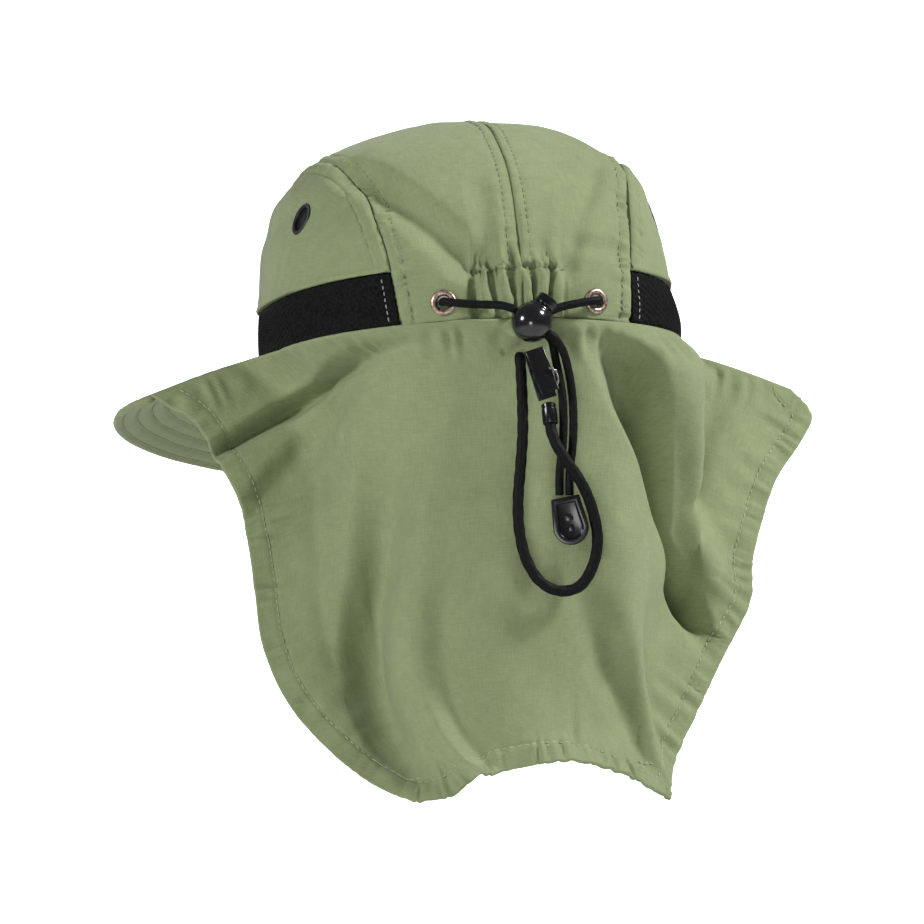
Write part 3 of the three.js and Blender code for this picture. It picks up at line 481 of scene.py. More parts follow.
# %% Dress a surface as cloth
class Cloth:
    """A cloth piece with the grid of its outer face, so that stitches can be laid on it."""

    def __init__(self, name, places, relief, node, slot, thickness, thick=None, inside=(0, 0, -20)):
        normals = grid_normals(places)
        facing = np.sign(np.sum(normals * (places - np.array(inside))))
        self.places = places + normals * facing * np.asarray(relief)[..., None]
        self.normals = grid_normals(self.places) * facing
        self.widths = np.linalg.norm(np.diff(places, axis=1), axis=2).sum(axis=1)
        self.lengths = np.linalg.norm(np.diff(places, axis=0), axis=2).sum(axis=0)
        self.size = (self.widths.mean(), self.lengths.mean())
        self.piece = grid_mesh(name, self.places, self.size, weights=thick)
        first = self.piece.data.polygons[0]
        if Vector(self.normals[0, 0]).dot(first.normal) < 0:
            self.piece.data.flip_normals()
        wall = self.piece.modifiers.new("cloth", "SOLIDIFY")
        wall.thickness = thickness * MM
        wall.offset = -1
        if thick is not None:
            self.piece.vertex_groups.new(name="folded")
            wall.vertex_group = "folded"
        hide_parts(node)
        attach(self.piece, "cap")
        print(f"{name}: {self.size[0]:.0f} by {self.size[1]:.0f} mm, {self.places.size // 3} points")

    def width_at(self, v):
        return np.interp(v, np.linspace(0, 1, len(self.widths)), self.widths)

    def length_at(self, u):
        return np.interp(u, np.linspace(0, 1, len(self.lengths)), self.lengths)

    def at(self, u, v):
        """The point and the normal at a share across and a share along the sheet."""
        rows, columns = self.places.shape[:2]
        x = np.clip(u, 0, 1) * (columns - 1)
        y = np.clip(v, 0, 1) * (rows - 1)
        j = np.minimum(x.astype(int), columns - 2)
        i = np.minimum(y.astype(int), rows - 2)
        fx, fy = (x - j)[:, None], (y - i)[:, None]
        found = []
        for table in (self.places, self.normals):
            top = table[i, j] * (1 - fx) + table[i, j + 1] * fx
            low = table[i + 1, j] * (1 - fx) + table[i + 1, j + 1] * fx
            found.append(top * (1 - fy) + low * fy)
        return found[0], unit(found[1])


# %% [markdown]
# ## Stitches
# Thread is what makes cloth look sewn. Each stitch is a small bead drawn out along the seam and
# half sunk in the cloth. One mesh holds all stitches of a thread, because thousands of objects
# would be slow.

# %% Sew rows of stitches
STITCH_LENGTH = 2.0
STITCH_PITCH = 2.9
THREAD_RADIUS = 0.24
STITCH_SIDES, STITCH_RINGS = 6, 4
STITCHES_AT_ONCE = 40
thread_meshes = {}


def keep_stitches(thread, bm):
    """Put a few stitches with the others of their thread, and start on new ones.

    An operator takes longer the more its bmesh holds, so stitches are made a few at a time.
    """
    few = bpy.data.meshes.new("few_stitches")
    bm.to_mesh(few)
    bm.free()
    thread_meshes.setdefault(thread, bmesh.new()).from_mesh(few)
    bpy.data.meshes.remove(few)
    return bmesh.new()


def sew(thread, points, normals, length=STITCH_LENGTH, pitch=STITCH_PITCH, radius=THREAD_RADIUS):
    """Lay stitches of a thread along points that lie on the cloth."""
    bm = bmesh.new()
    steps = np.linalg.norm(np.diff(points, axis=0), axis=1)
    along = np.concatenate([[0], np.cumsum(steps)])
    for count, middle in enumerate(np.arange(pitch / 2, along[-1] - pitch / 2, pitch)):
        if count % STITCHES_AT_ONCE == STITCHES_AT_ONCE - 1:
            bm = keep_stitches(thread, bm)
        ends = [np.array([np.interp(middle + d, along, points[:, k]) for k in range(3)])
                for d in (-length / 2, length / 2)]
        normal = Vector([np.interp(middle, along, normals[:, k]) for k in range(3)]).normalized()
        forward = Vector(ends[1] - ends[0]).normalized()
        aside = normal.cross(forward).normalized()
        turn = Matrix((aside, forward.cross(aside), forward)).transposed().to_4x4()
        size = Matrix.Diagonal((radius, radius, length / 2, 1))
        spot = Vector((ends[0] + ends[1]) / 2) + normal * radius * 0.35
        bmesh.ops.create_uvsphere(
            bm, u_segments=STITCH_SIDES, v_segments=STITCH_RINGS, radius=1,
            matrix=Matrix.Scale(MM, 4) @ Matrix.Translation(spot) @ turn @ size,
        )
    keep_stitches(thread, bm).free()


# %% [markdown]
# ## Where the rings go
# The places of the grommets and the vent eyelets are worked out before the cloth is cut, because
# the cloth lies flat and tight round a pressed ring.

# %% Place the rings
GROMMET_RADIUS, GROMMET_HOLE = 4.6, 2.4
EYELET_RADIUS, EYELET_HOLE = 6.4, 4.6
GROMMET_ACROSS, GROMMET_UP = 28.0, 6.2
EYELET_AROUND, EYELET_UP = math.radians(63.5), 42.6
FLANGE, CLEARANCE = 0.9, 0.3


def ring_place(plain):
    """The middle of a ring on the crown, and the way that it faces."""
    plain = np.asarray(plain, float)
    facing = crown_normal(plain)
    across = np.array([-facing[1], facing[0], 0]) * GROMMET_RADIUS
    upward = np.array([0, 0, GROMMET_RADIUS])
    at = [crown_place(crown_toward(plain + s)[None])[0] for s in (across, -across, upward, -upward)]
    normal = np.cross(at[0] - at[1], at[2] - at[3])
    return crown_place(plain[None])[0], normal / np.linalg.norm(normal)


grommets, eyelets = {}, {}
for side, label in ((1, "left"), (-1, "right")):
    grommets[label] = ring_place(crown_across(side * GROMMET_ACROSS, math.atan2(GROMMET_UP, HALF_LENGTH)))
    eyelets[label] = ring_place(crown_at_height(side * EYELET_AROUND, EYELET_UP))


def flat_at(places, ring, radius):
    """0 on the cloth that a ring holds flat, and 1 further away."""
    return smooth((np.linalg.norm(places - ring[0], axis=-1) - radius - 1) / 6)


# %% [markdown]
# ## The crown's middle panels
# Two panels meet at the back of the head and run over the top to the front. The gathered casing
# at the back needs many more rows than the plain top, so rows are counted in three stretches.

# %% Cut the two middle panels
CLOTH = 0.9
MIDDLE_ROW, ARCH_ROW, SIDE_ROW = 4.0, 5.2, 5.0
CASING_SHARE = 0.085
CASING_ROWS = 90
HALF_SEAM = SEAM_GAP / 2


def centre_surface(side, columns=56, rows=330):
    u, v = np.meshgrid(np.linspace(0, 1, columns), np.linspace(0, 1, rows))
    rim = crown_across(ARCH_LOW * u, 0 * u)
    rim_angle = np.arctan2(rim_height(around_of(rim)), rim[..., 1])
    back = corner_over + (rim_angle - corner_over) * (1 - v / CASING_SHARE)
    front = math.pi - (corner_over + (rim_angle - corner_over) * (1 - (1 - v) / CASING_SHARE))
    share = (v - CASING_SHARE) / (1 - 2 * CASING_SHARE)
    middle = corner_over + (math.pi - 2 * corner_over) * share
    over = np.where(v < CASING_SHARE, back, np.where(v > 1 - CASING_SHARE, front, middle))
    across = HALF_SEAM + (arch_half_width(over) - 2 * HALF_SEAM) * u
    return mirrored(crown_across(across, over), side)


def arch_line(side):
    over = np.linspace(arch_angle_at(0.0), math.pi - arch_angle_at(0.0), 60)
    plain = mirrored(crown_across(arch_half_width(over), over), side)
    return Line(crown_place(plain), samples=12)


def middle_line():
    over = np.linspace(0, math.pi, 60)
    return Line(crown_place(crown_across(0 * over + 1e-6, over)), samples=12)


back_seam = middle_line()
centre_panels = {}
casing_rows = {}
for side, label in ((1, "left"), (-1, "right")):
    plain = centre_surface(side)
    places = crown_place(plain)
    middle_off, middle_along = beside(places, back_seam)
    arch_off, arch_along = beside(places, arch_line(side))
    relief = seam_relief(middle_off, middle_along, MIDDLE_ROW, 0.4, pitch=5.5, pull=0.34)
    relief += seam_relief(arch_off, arch_along, ARCH_ROW, 1.3 * side, pitch=4.4, pull=0.85)
    height = plain[..., 2]
    at_back = plain[..., 1] > 0
    drawn = smooth((GATHER_HALF_WIDTH + 1 - np.abs(plain[..., 0] - 1)) / 2)
    casing_row = np.where(at_back, drawn * np.exp(-((height - CASING) / 0.7)**2), 0)
    relief -= 1.0 * casing_row
    relief -= 0.8 * np.where(at_back, np.exp(-(height / 0.9)**2), 0)
    relief += 0.8 * ripples(places, 34, 1) + 0.2 * ripples(places, 11, 2)
    relief *= flat_at(places, grommets[label], GROMMET_RADIUS)
    centre_panels[label] = Cloth(
        f"crown_centre_{label}_cloth", places, relief, f"crown_centre_{label}", "crown_cloth", CLOTH,
    )
    casing_rows[label] = [np.interp(CASING, column[:CASING_ROWS], np.linspace(0, 1, len(plain))[:CASING_ROWS])
                          for column in height.T]

# %% Sew the middle panels
for label, panel in centre_panels.items():
    v = np.linspace(0.004, 0.996, 900)
    sew("green", *panel.at(MIDDLE_ROW / panel.width_at(v), v))
    sew("green", *panel.at(1 - ARCH_ROW / panel.width_at(v), v))
    u = np.linspace(0.02, 0.42, 200)
    casing_v = np.interp(u, np.linspace(0, 1, len(casing_rows[label])), casing_rows[label])
    sew("green", *panel.at(u, casing_v), length=1.7, pitch=2.4)

# %% [markdown]
# ## The crown's side panels
# Each side panel hangs between the arched seam and the mesh band. It is spanned between those two
# lines, row by row, and pushed out onto the crown's surface.

# %% Cut the two side panels
def side_surface(side, columns=210, rows=100):
    share, row = np.meshgrid(np.linspace(0, 1, columns), np.linspace(0, 1, rows))
    over = corner_over + (math.pi - 2 * corner_over) * share
    rim_corner = around_of(crown_across(arch_half_width(corner_over), corner_over))
    around = rim_corner + (math.pi - 2 * rim_corner) * share
    seam = crown_across(arch_half_width(over) + HALF_SEAM, over)
    foot = crown_at_height(around, band_top(around) + HALF_SEAM)
    direction = unit(seam) * (1 - row[..., None]) + unit(foot) * row[..., None]
    return mirrored(crown_toward(direction), side)


def band_line(side):
    start = arch_around + HALF_SEAM / HALF_WIDTH
    around = np.linspace(start, math.pi - start, 80)
    plain = mirrored(crown_at_height(around, band_top(around)), side)
    return Line(crown_place(plain), samples=8)


side_panels = {}
for side, label in ((1, "left"), (-1, "right")):
    places = crown_place(side_surface(side))
    arch_off, arch_along = beside(places, arch_line(side))
    band_off, band_along = beside(places, band_line(side))
    relief = seam_relief(arch_off, arch_along, SIDE_ROW, 2.1 * side, pitch=5.2, pull=0.5)
    relief += 0.55 * bump(band_off / 2.6) - 0.5 * np.exp(-(band_off / 0.4)**2)
    relief += puckers(band_off, band_along, 3, 5, 7, 0.12, 0.7)
    relief += 0.6 * ripples(places, 30, 3) + 0.14 * ripples(places, 9, 4)
    relief *= flat_at(places, eyelets[label], EYELET_RADIUS)
    side_panels[label] = Cloth(
        f"crown_side_{label}_cloth", places, relief, f"crown_side_{label}", "crown_cloth", CLOTH,
    )

# %% Sew the side panels
for label, panel in side_panels.items():
    u = np.linspace(0.03, 0.97, 700)
    depth = panel.length_at(u)
    keep = depth > 12
    sew("green", *panel.at(u[keep], (SIDE_ROW / depth)[keep]))

# %% [markdown]
# ## The mesh bands
# The bands are knitted spacer mesh. Knitting shows as slanting ribs, each a row of small loops,
# so the ribs are real relief in the sheet, and the holes between the loops are painted shade in the material.

# %% Knit the two bands
RIB_PITCH, BAND_RISE, END_SEAM = 2.3, 17, 4.2


def band_surface(side, columns=380, rows=56):
    column, row = np.meshgrid(np.linspace(0, 1, columns), np.linspace(0, 1, rows))
    over = arch_angle_at(band_top(arch_around) * row)
    seam = crown_across(arch_half_width(over), over)
    start = around_of(seam) + HALF_SEAM / HALF_WIDTH
    around = start + (math.pi - 2 * start) * column
    low, high = rim_height(around), band_top(around) - HALF_SEAM
    return mirrored(crown_at_height(around, low + (high - low) * row), side), column, row


bands = {}
for side, label in ((1, "left"), (-1, "right")):
    plain, column, row = band_surface(side)
    places = crown_place(plain)
    run = column * np.linalg.norm(np.diff(places[len(places) // 2], axis=0), axis=1).sum()
    rise = row * BAND_RISE
    slant = (run * 0.42 + rise) * 2 * math.pi / RIB_PITCH
    loops = (run - rise * 0.3) * 2 * math.pi / (RIB_PITCH * 0.9)
    edge = bump((row - 0.5) / 0.56)**0.3
    end = smooth(run / 1.5)
    relief = edge * end * (0.28 * np.cos(slant + 0.5 * np.sin(loops)) + 0.1 * np.cos(loops))
    relief -= 0.5 * (1 - smooth(row / 0.06)) + 0.6 * (1 - smooth((1 - row) / 0.05))
    relief -= 0.25 * np.exp(-((run - END_SEAM) / 0.6)**2)
    bands[label] = Cloth(
        f"mesh_band_{label}_knit", places, relief, f"mesh_band_{label}", "knitted_mesh", 1.2,
    )
    v = np.linspace(0.06, 0.94, 40)
    sew("pale", *bands[label].at(0 * v + END_SEAM / bands[label].size[0], v), length=1.6, pitch=2.5)

# %% [markdown]
# ## The bill
# The bill is foam between two layers of cloth, quilted by rows of stitching that follow its outer
# edge. Each row pinches the foam from both sides. Solidify thickens a sheet from its middle, and
# a vertex group makes the wall thinner along each row and at the rounded edge.

# %% Shape the bill
BILL_HALF_WIDTH, BILL_WIDEST, BILL_REAR = 132, -40, 5
BILL_REACH = HALF_LENGTH + 75 + BILL_WIDEST
BILL_SIDE_DROP, BILL_FRONT_DROP, BILL_DROP_CURVE = 22.5, 43, 0.37
BILL_THICK, BILL_CROWNING = 2.8, 1.25
BILL_ROWS, FIRST_ROW, ROW_PITCH = 9, 3.6, 6.2
bill_corner = math.acos((BILL_WIDEST - BILL_REAR) / BILL_REACH)
bill_inner = math.acos(BILL_REAR / HALF_LENGTH)


def bill_top(column, row):
    around = bill_inner + (2 * math.pi - 2 * bill_inner) * column
    x, y = rim_plan(around)
    inset = 1 - 1.5 / np.hypot(x, y)
    inner = stack(x * inset, y * inset, rim_height(around) - SEAM_GAP)
    turn = bill_corner * (1 - 2 * column)
    cosine = np.cos(turn)
    drop = cosine + (cosine**2 - cosine) * BILL_DROP_CURVE
    outer = stack(
        BILL_HALF_WIDTH * np.sin(turn), BILL_WIDEST - BILL_REACH * cosine,
        -(BILL_SIDE_DROP + (BILL_FRONT_DROP - BILL_SIDE_DROP) * drop),
    )
    point = inner + (outer - inner) * row[..., None]
    point[..., 2] = inner[..., 2] + (outer[..., 2] - inner[..., 2]) * row**BILL_CROWNING
    return point


column, row = np.meshgrid(np.linspace(0, 1, 320), np.linspace(0, 1, 80))
bill_places = bill_top(column, row) - np.array([0, 0, BILL_THICK / 2])
bill_edge = Line(bill_top(np.linspace(0, 1, 120), np.ones(120)) - np.array([0, 0, BILL_THICK / 2]), samples=8)
edge_off, edge_along = beside(bill_places, bill_edge)
bill_row_spots = FIRST_ROW + ROW_PITCH * np.arange(BILL_ROWS)
pinch = np.ones_like(edge_off)
for spot in bill_row_spots:
    pinch -= 0.55 * np.exp(-((edge_off - spot) / 0.85)**2)
pinch *= 0.35 + 0.65 * smooth(edge_off / 1.6)**0.5
pinch *= 0.5 + 0.5 * smooth(row / 0.02)
waves = 0.18 * ripples(bill_places, 24, 5) + puckers(edge_off, edge_along, 1.5, 3, 5.5, 0.15, 0.2)
bill = Cloth("bill_quilt", bill_places, waves, "bill", "bill_cloth", BILL_THICK, thick=pinch,
             inside=(0, -60, -300))
bill.piece.modifiers["cloth"].offset = 0

# %% Sew the bill on both faces
for spot in bill_row_spots:
    u = np.linspace(0.001, 0.999, 1200)
    path = []
    for share in u:
        j = share * (edge_off.shape[1] - 1)
        low = int(j)
        off = edge_off[:, low]
        path.append(np.interp(-spot, -off, row[:, low]) if off[0] > spot else -1)
    path = np.array(path)
    keep = path > 0.03
    points, normals = bill.at(u[keep], path[keep])
    for face in (1, -1):
        sew("green", points + face * normals * BILL_THICK * 0.27, normals * face, length=2.2, pitch=3.1)

# %% [markdown]
# ## The neck cape
# The cape is spanned between its four edges, a Coons patch, and folds run down it from the crown
# to the hem. Finer creases follow the folds, and the hem is folded double and drawn up a little
# by its stitches.

# %% Span the cape between its edges
CAPE_LENGTH, CAPE_HALF_SPREAD, CAPE_DEPTH = 170, 130, 100
CAPE_CLOTH = 1.2
FOLD_DEPTH, FOLD_BACKWARD, EDGE_CALM = 10, 0.8, 0.14
# Columns: out, back and down, as shares of the half spread, the depth and the length.
LEFT_EDGE = [
    (0.82, 0.12, 0.18), (0.755, 0.2, 0.28), (0.714, 0.27, 0.36), (0.703, 0.34, 0.445),
    (0.697, 0.43, 0.55), (0.69, 0.53, 0.665), (0.636, 0.63, 0.785), (0.54, 0.74, 0.885),
    (0.425, 0.84, 0.96), (0.33, 0.92, 0.996),
]
RIGHT_EDGE = [
    (-1.03, 0.1, 0.18), (-0.985, 0.15, 0.238), (-0.88, 0.23, 0.33), (-0.82, 0.29, 0.42),
    (-0.772, 0.35, 0.51), (-0.745, 0.41, 0.6), (-0.63, 0.51, 0.73), (-0.512, 0.61, 0.865),
    (-0.437, 0.72, 0.946), (-0.389, 0.9, 1.01),
]
HEM = [
    (0.237, 0.97, 0.984), (0.173, 1.0, 0.948), (0.055, 1.04, 0.93), (-0.079, 1.06, 0.924),
    (-0.194, 1.05, 0.938), (-0.285, 1.0, 0.966),
]
# Columns: where the fold crosses the top and the foot as shares of the way round, how late its
# line turns from the one to the other (1 is straight), where on the drop it starts and ends, its
# half width as a share of the way round, and its height as a share of the fold depth.
FOLDS = [
    (0.38, -3.95, 1.36, -0.05, 0.3, 0.04, -1),
    (0.36, -0.75, 1, -0.05, 0.5, 0.035, -0.5),
    (0.36, 0.1, 1, 0.15, 0.98, 0.042, -1.3),
    (0.38, 0.26, 1, 0.25, 1.3, 0.03, 0.6),
    (0.2, 0.02, 1, 0.1, 0.9, 0.05, 0.5),
    (0.47, 0.5, 1, 0.2, 1.3, 0.09, 0.5),
    (0.555, 1.05, 3, 0.05, 1.4, 0.045, 0.9),
    (0.57, 1.55, 1.9, -0.1, 0.8, 0.028, -2.4),
    (0.64, 1.44, 1.37, -0.05, 0.95, 0.045, 1.3),
    (0.84, 0.9, 1, 0, 0.4, 0.03, -0.3),
    (0.93, 1, 1, 0, 0.5, 0.04, 0.3),
]


def cape_top_half(side, end):
    corner = bill_top(np.zeros(5), np.array([end, 0.8, 0.6, 0.4, 0.2]))
    corner[:, 0] *= side
    corner[:, 1] = BILL_REAR + 2 * SEAM_GAP + CAPE_CLOTH
    around = side * np.radians([78, 70, 60, 50, 40, 30, 20, 10])
    rim = crown_place(crown_at_height(around, rim_height(around)))
    rim[:, 2] -= SEAM_GAP
    return np.vstack([corner, rim])


def cape_places(table):
    return np.array(table) * [CAPE_HALF_SPREAD, CAPE_DEPTH, -CAPE_LENGTH]


top_left, top_right = cape_top_half(1, 0.97), cape_top_half(-1, 1.06)
left_places = np.vstack([top_left[:1], cape_places(LEFT_EDGE)])
right_places = np.vstack([top_right[:1], cape_places(RIGHT_EDGE)])
cape_top = Line(np.vstack([top_left, [(0, HALF_LENGTH, -SEAM_GAP)], top_right[::-1]]))
cape_left, cape_right = Line(left_places), Line(right_places)
cape_hem = Line(np.vstack([left_places[-1:], cape_places(HEM), right_places[-1:]]))


def cape_sheet(share, drop):
    s, d = share[..., None], drop[..., None]
    corners = [line.at(end) for line in (cape_top, cape_hem) for end in (0.0, 1.0)]
    upper = corners[0] + (corners[1] - corners[0]) * s
    lower = corners[2] + (corners[3] - corners[2]) * s
    between = cape_top.at(share) * (1 - d) + cape_hem.at(share) * d
    sides = cape_left.at(drop) * (1 - s) + cape_right.at(drop) * s
    return between + sides - upper * (1 - d) - lower * d


def cape_folds(share, drop):
    height = 0
    for top, foot, curve, start, end, width, amount in FOLDS:
        window = bump((2 * drop - start - end) / (end - start))**0.6
        line = top + (foot - top) * drop**curve
        height = height + FOLD_DEPTH * amount * window * bump((share - line) / (2 * width))
    return height * smooth((drop - 0.01) / 0.1) * smooth((1 - share) / EDGE_CALM)


share, drop = np.meshgrid(np.linspace(0, 1, 290), np.linspace(0, 1, 160))
sheet = cape_sheet(share, drop)
step = 0.004
along = cape_sheet(np.minimum(share + step, 1), drop) - cape_sheet(np.maximum(share - step, 0), drop)
down = cape_sheet(share, np.minimum(drop + step, 1)) - cape_sheet(share, np.maximum(drop - step, 0))
out = unit(np.cross(down, along))
out[..., 2] *= smooth(drop / 0.15)
out = unit(unit(out) + np.array([0, FOLD_BACKWARD, 0]))
cape_base = sheet + out * cape_folds(share, drop)[..., None]

# %% Crease and hem the cape
HEM_WIDTH, HEM_ROWS_FROM = 7.6, 80
hem_loop = Line(np.vstack([cape_base[:, 0], cape_base[-1, 1:], cape_base[-2::-1, -1]])[::2], samples=4)
hem_off, hem_along = beside(cape_base, hem_loop)
top_off, top_along = beside(cape_base, Line(cape_base[0, ::3], samples=4))
in_hem = 1 - smooth((hem_off - HEM_WIDTH + 0.5) / 1.0)
cape_relief = 0.35 * in_hem - 0.35 * np.exp(-((hem_off - HEM_WIDTH) / 0.6)**2)
cape_relief += puckers(hem_off, hem_along, 4.5, 8, 5.2, 0.9, 0.9)
cape_relief += puckers(hem_off, hem_along, 10, 18, 13, 0.7, 2.2)
cape_relief += puckers(top_off, top_along, 5, 14, 8.5, 0.9, 1.7)
slanting = share * 360 + drop * 60
inner = smooth(drop / 0.3) * smooth(hem_off / 40)
cape_relief += 0.4 * np.sin(slanting / 9 + 1.5 * ripples(cape_base, 60, 6)) * inner
cape_relief += 1.2 * ripples(cape_base, 46, 7) + 0.3 * ripples(cape_base, 14, 8)
cape = Cloth(
    "neck_cape_cloth", cape_base, cape_relief * smooth(top_off / 6), "neck_cape", "cape_cloth",
    CAPE_CLOTH, thick=0.5 + 0.5 * in_hem, inside=(0, 0, -60),
)
cape_area = np.linalg.norm(
    np.cross(np.diff(cape.places, axis=0)[:, :-1], np.diff(cape.places, axis=1)[:-1]), axis=2,
).sum()
print(f"cape: top {cape_top.length:.0f}, sides {cape_left.length:.0f}, area {cape_area:.0f} mm2")

# %% Sew the hem
def hem_rows():
    """The places of the hem's stitches: down each side, and along the foot between them."""
    columns = np.linspace(0, 1, hem_off.shape[1])
    rows = np.linspace(0, 1, hem_off.shape[0])
    half = len(columns) // 2
    for i_cut in (slice(0, half), slice(-1, half, -1)):
        u = np.array([np.interp(HEM_WIDTH, hem_off[i, i_cut], columns[i_cut]) for i in range(len(rows))])
        keep = (rows > 0.01) & (rows < 0.955)
        yield u[keep], rows[keep]
    lower = slice(HEM_ROWS_FROM, None)
    v = np.array([np.interp(-HEM_WIDTH, -hem_off[lower, j], rows[lower]) for j in range(len(columns))])
    keep = (columns > 0.05) & (columns < 0.95)
    yield columns[keep], v[keep]


for u, v in hem_rows():
    sew("pale_green", *cape.at(u, v), length=1.9, pitch=2.7)

# %% [markdown]
# The leash comes out of the cape through a short slit. A bar of close stitches, a bartack, locks
# each end of such a slit.

# %% Tack the ends of the slit
SLIT_ENDS = [(9.5, 101, -12.5), (0.5, 101, -12.5)]
TACK_PITCH, TACK_REACH = 0.45, 1.4
flat_points = cape.places.reshape(-1, 3)
for slit_end in SLIT_ENDS:
    spot = flat_points[np.argmin(np.linalg.norm(flat_points - np.array(slit_end), axis=1))]
    normal = cape.normals.reshape(-1, 3)[np.argmin(np.linalg.norm(flat_points - spot, axis=1))]
    for k in range(4):
        aside = TACK_PITCH * (k - 1.5)
        ends = spot + np.array([[aside, 0, TACK_REACH], [aside, 0, -TACK_REACH]])
        middle = np.vstack([ends[0], ends.mean(axis=0), ends[1]]) + normal * 0.15
        sew("green", middle, np.vstack([normal] * 3), length=2.4, pitch=2.7, radius=0.2)

# %% Turn the threads into pieces
threads = {}
for thread, bm in thread_meshes.items():
    for face in bm.faces:
        face.smooth = True
    threads[thread] = finished(f"stitches_{thread}", bm)
    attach(threads[thread], "cap")
    print(thread, len(threads[thread].data.polygons) // (STITCH_SIDES * STITCH_RINGS), "stitches")

# %% [markdown]
# ## Holes for the metal rings
# A ring is pressed through a punched hole. The hole in the cloth is smaller than the ring's
# flange, which hides its rough edge, so the points within it are simply deleted.

# %% Punch the cloth
def punch(cloth, centre, radius):
    bm = bmesh.new()
    bm.from_mesh(cloth.piece.data)
    gone = [v for v in bm.verts if (v.co - Vector(centre) * MM).length < radius * MM]
    bmesh.ops.delete(bm, geom=gone, context="VERTS")
    bm.to_mesh(cloth.piece.data)
    bm.free()


for label in ("left", "right"):
    punch(centre_panels[label], grommets[label][0], GROMMET_HOLE + 0.9)
    punch(side_panels[label], eyelets[label][0], EYELET_HOLE + 0.7)

# %% [markdown]
# ## Turned parts
# Rings, the toggle and the ferrule are round about a line, so each is a profile of radius and
# height spun once round. Edges that turn sharply are marked, so that shading stays crisp there.

# %% Spin a profile
def sharpen(bm, degrees=35):
    for face in bm.faces:
        face.smooth = True
    for edge in bm.edges:
        if edge.calc_face_angle(0) > math.radians(degrees):
            edge.smooth = False


def turned(name, profile, place, steps=56):
    centre, normal = place
    bm = bmesh.new()
    verts = [bm.verts.new((radius, 0, height)) for radius, height in profile]
    edges = [bm.edges.new(pair) for pair in zip(verts, verts[1:])]
    bmesh.ops.spin(
        bm, geom=verts + edges, cent=(0, 0, 0), axis=(0, 0, 1), angle=2 * math.pi, steps=steps,
        use_merge=True,
    )
    bmesh.ops.remove_doubles(bm, verts=bm.verts, dist=1e-4)
    bmesh.ops.recalc_face_normals(bm, faces=bm.faces)
    sharpen(bm)
    turn = Vector((0, 0, 1)).rotation_difference(Vector(normal)).to_matrix().to_4x4()
    bmesh.ops.transform(
        bm, verts=bm.verts, matrix=Matrix.Scale(MM, 4) @ Matrix.Translation(Vector(centre)) @ turn,
    )
    return finished(name, bm)


def fit(piece, node, body):
    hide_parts(node)
    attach(piece, body)
    return piece


def arc(radius_at, height_at, radius, start, stop, steps):
    """Points on a circle in a profile, from one angle to another in degrees."""
    angles = np.radians(np.linspace(start, stop, steps))
    return [(radius_at + radius * math.cos(a), height_at + radius * math.sin(a)) for a in angles]


# %% Press in the grommets and the vent eyelets
UNDER = -1.5 - 3 * CLEARANCE
rings = {}
for label in ("left", "right"):
    roll_radius = (GROMMET_RADIUS - GROMMET_HOLE) / 2
    roll = arc(GROMMET_HOLE + roll_radius, CLEARANCE, roll_radius, -8, 188, 14)
    barrel = [(GROMMET_HOLE, CLEARANCE), (GROMMET_HOLE, UNDER - FLANGE), (GROMMET_RADIUS, UNDER - FLANGE),
              (GROMMET_RADIUS, UNDER), (GROMMET_HOLE + 0.6, UNDER), (GROMMET_HOLE + 0.6, CLEARANCE * 0.5)]
    profile = [(r, CLEARANCE + (h - CLEARANCE) * 0.75) for r, h in roll] + barrel
    rings[f"grommet_{label}"] = fit(
        turned(f"grommet_{label}_ring", profile + profile[:1], grommets[label]),
        f"grommet_{label}", "cap",
    )
    rim = arc(EYELET_RADIUS - 0.55, CLEARANCE + 0.35, 0.55, -60, 120, 8)
    inner = arc(EYELET_HOLE + 0.35, CLEARANCE + 0.45, 0.35, 70, 180, 6)
    screen = [(EYELET_HOLE, CLEARANCE - 0.3), (EYELET_HOLE * 0.6, CLEARANCE - 0.12), (0, CLEARANCE)]
    below = [(0, UNDER), (EYELET_HOLE, UNDER - FLANGE), (EYELET_RADIUS, UNDER - FLANGE),
             (EYELET_RADIUS, UNDER), (EYELET_HOLE + 0.7, UNDER), (EYELET_HOLE + 0.7, CLEARANCE - 0.2)]
    profile = rim + inner + screen + below
    rings[f"vent_eyelet_{label}"] = fit(
        turned(f"vent_eyelet_{label}_ring", profile + profile[:1], eyelets[label]),
        f"vent_eyelet_{label}", "cap",
    )

# %% [markdown]
# ## The toggle
# A round body with a sprung plunger across it. Pressing the plunger lines up two holes and lets
# the cord slide. Both are turned about the plunger's line.

# %% Turn the toggle's ball and its plunger
BALL_RADIUS = 7.2
BALL_CENTRE = np.array([-0.6, 109, -2.6])
plunger_way = np.array([-0.61, 0, 0.79]) / math.hypot(0.61, 0.79)
SOCKET = 4.0
lip_angle = math.degrees(math.acos(5.1 / BALL_RADIUS))
ball_profile = [
    *arc(0, 0, BALL_RADIUS, -90, lip_angle, 40), (5.0, 5.55), (4.85, 6.0), (4.6, 6.2), (4.25, 6.2),
    (SOCKET, 5.95), (SOCKET, 3.7), (2.9, 3.7), (2.9, -4), (0, -4),
]
ball = fit(
    turned("toggle_ball_turned", ball_profile, (BALL_CENTRE, plunger_way), steps=72),
    "toggle_ball", "cap",
)
plunger_profile = [
    (0, -0.6), (2.6, -0.6), (2.6, 7), (3.3, 7), (3.6, 7.15), (3.7, 7.5), (3.7, 8.3), (3.55, 8.4),
    (3.55, 8.6), (3.7, 8.7), (3.7, 10.1), (3.6, 10.4), (3.3, 10.6), (2.5, 10.6), (2.3, 10.35), (0, 10.2),
]
plunger = fit(
    turned("toggle_plunger_turned", plunger_profile, (BALL_CENTRE, plunger_way)),
    "toggle_plunger", "plunger",
)

# %% [markdown]
# ## The leash clip
# A small moulded clip: the lower jaw carries two ears and a pin, and the upper jaw turns on the
# pin. Each part is its side outline, extruded across and then bevelled as moulded edges are.

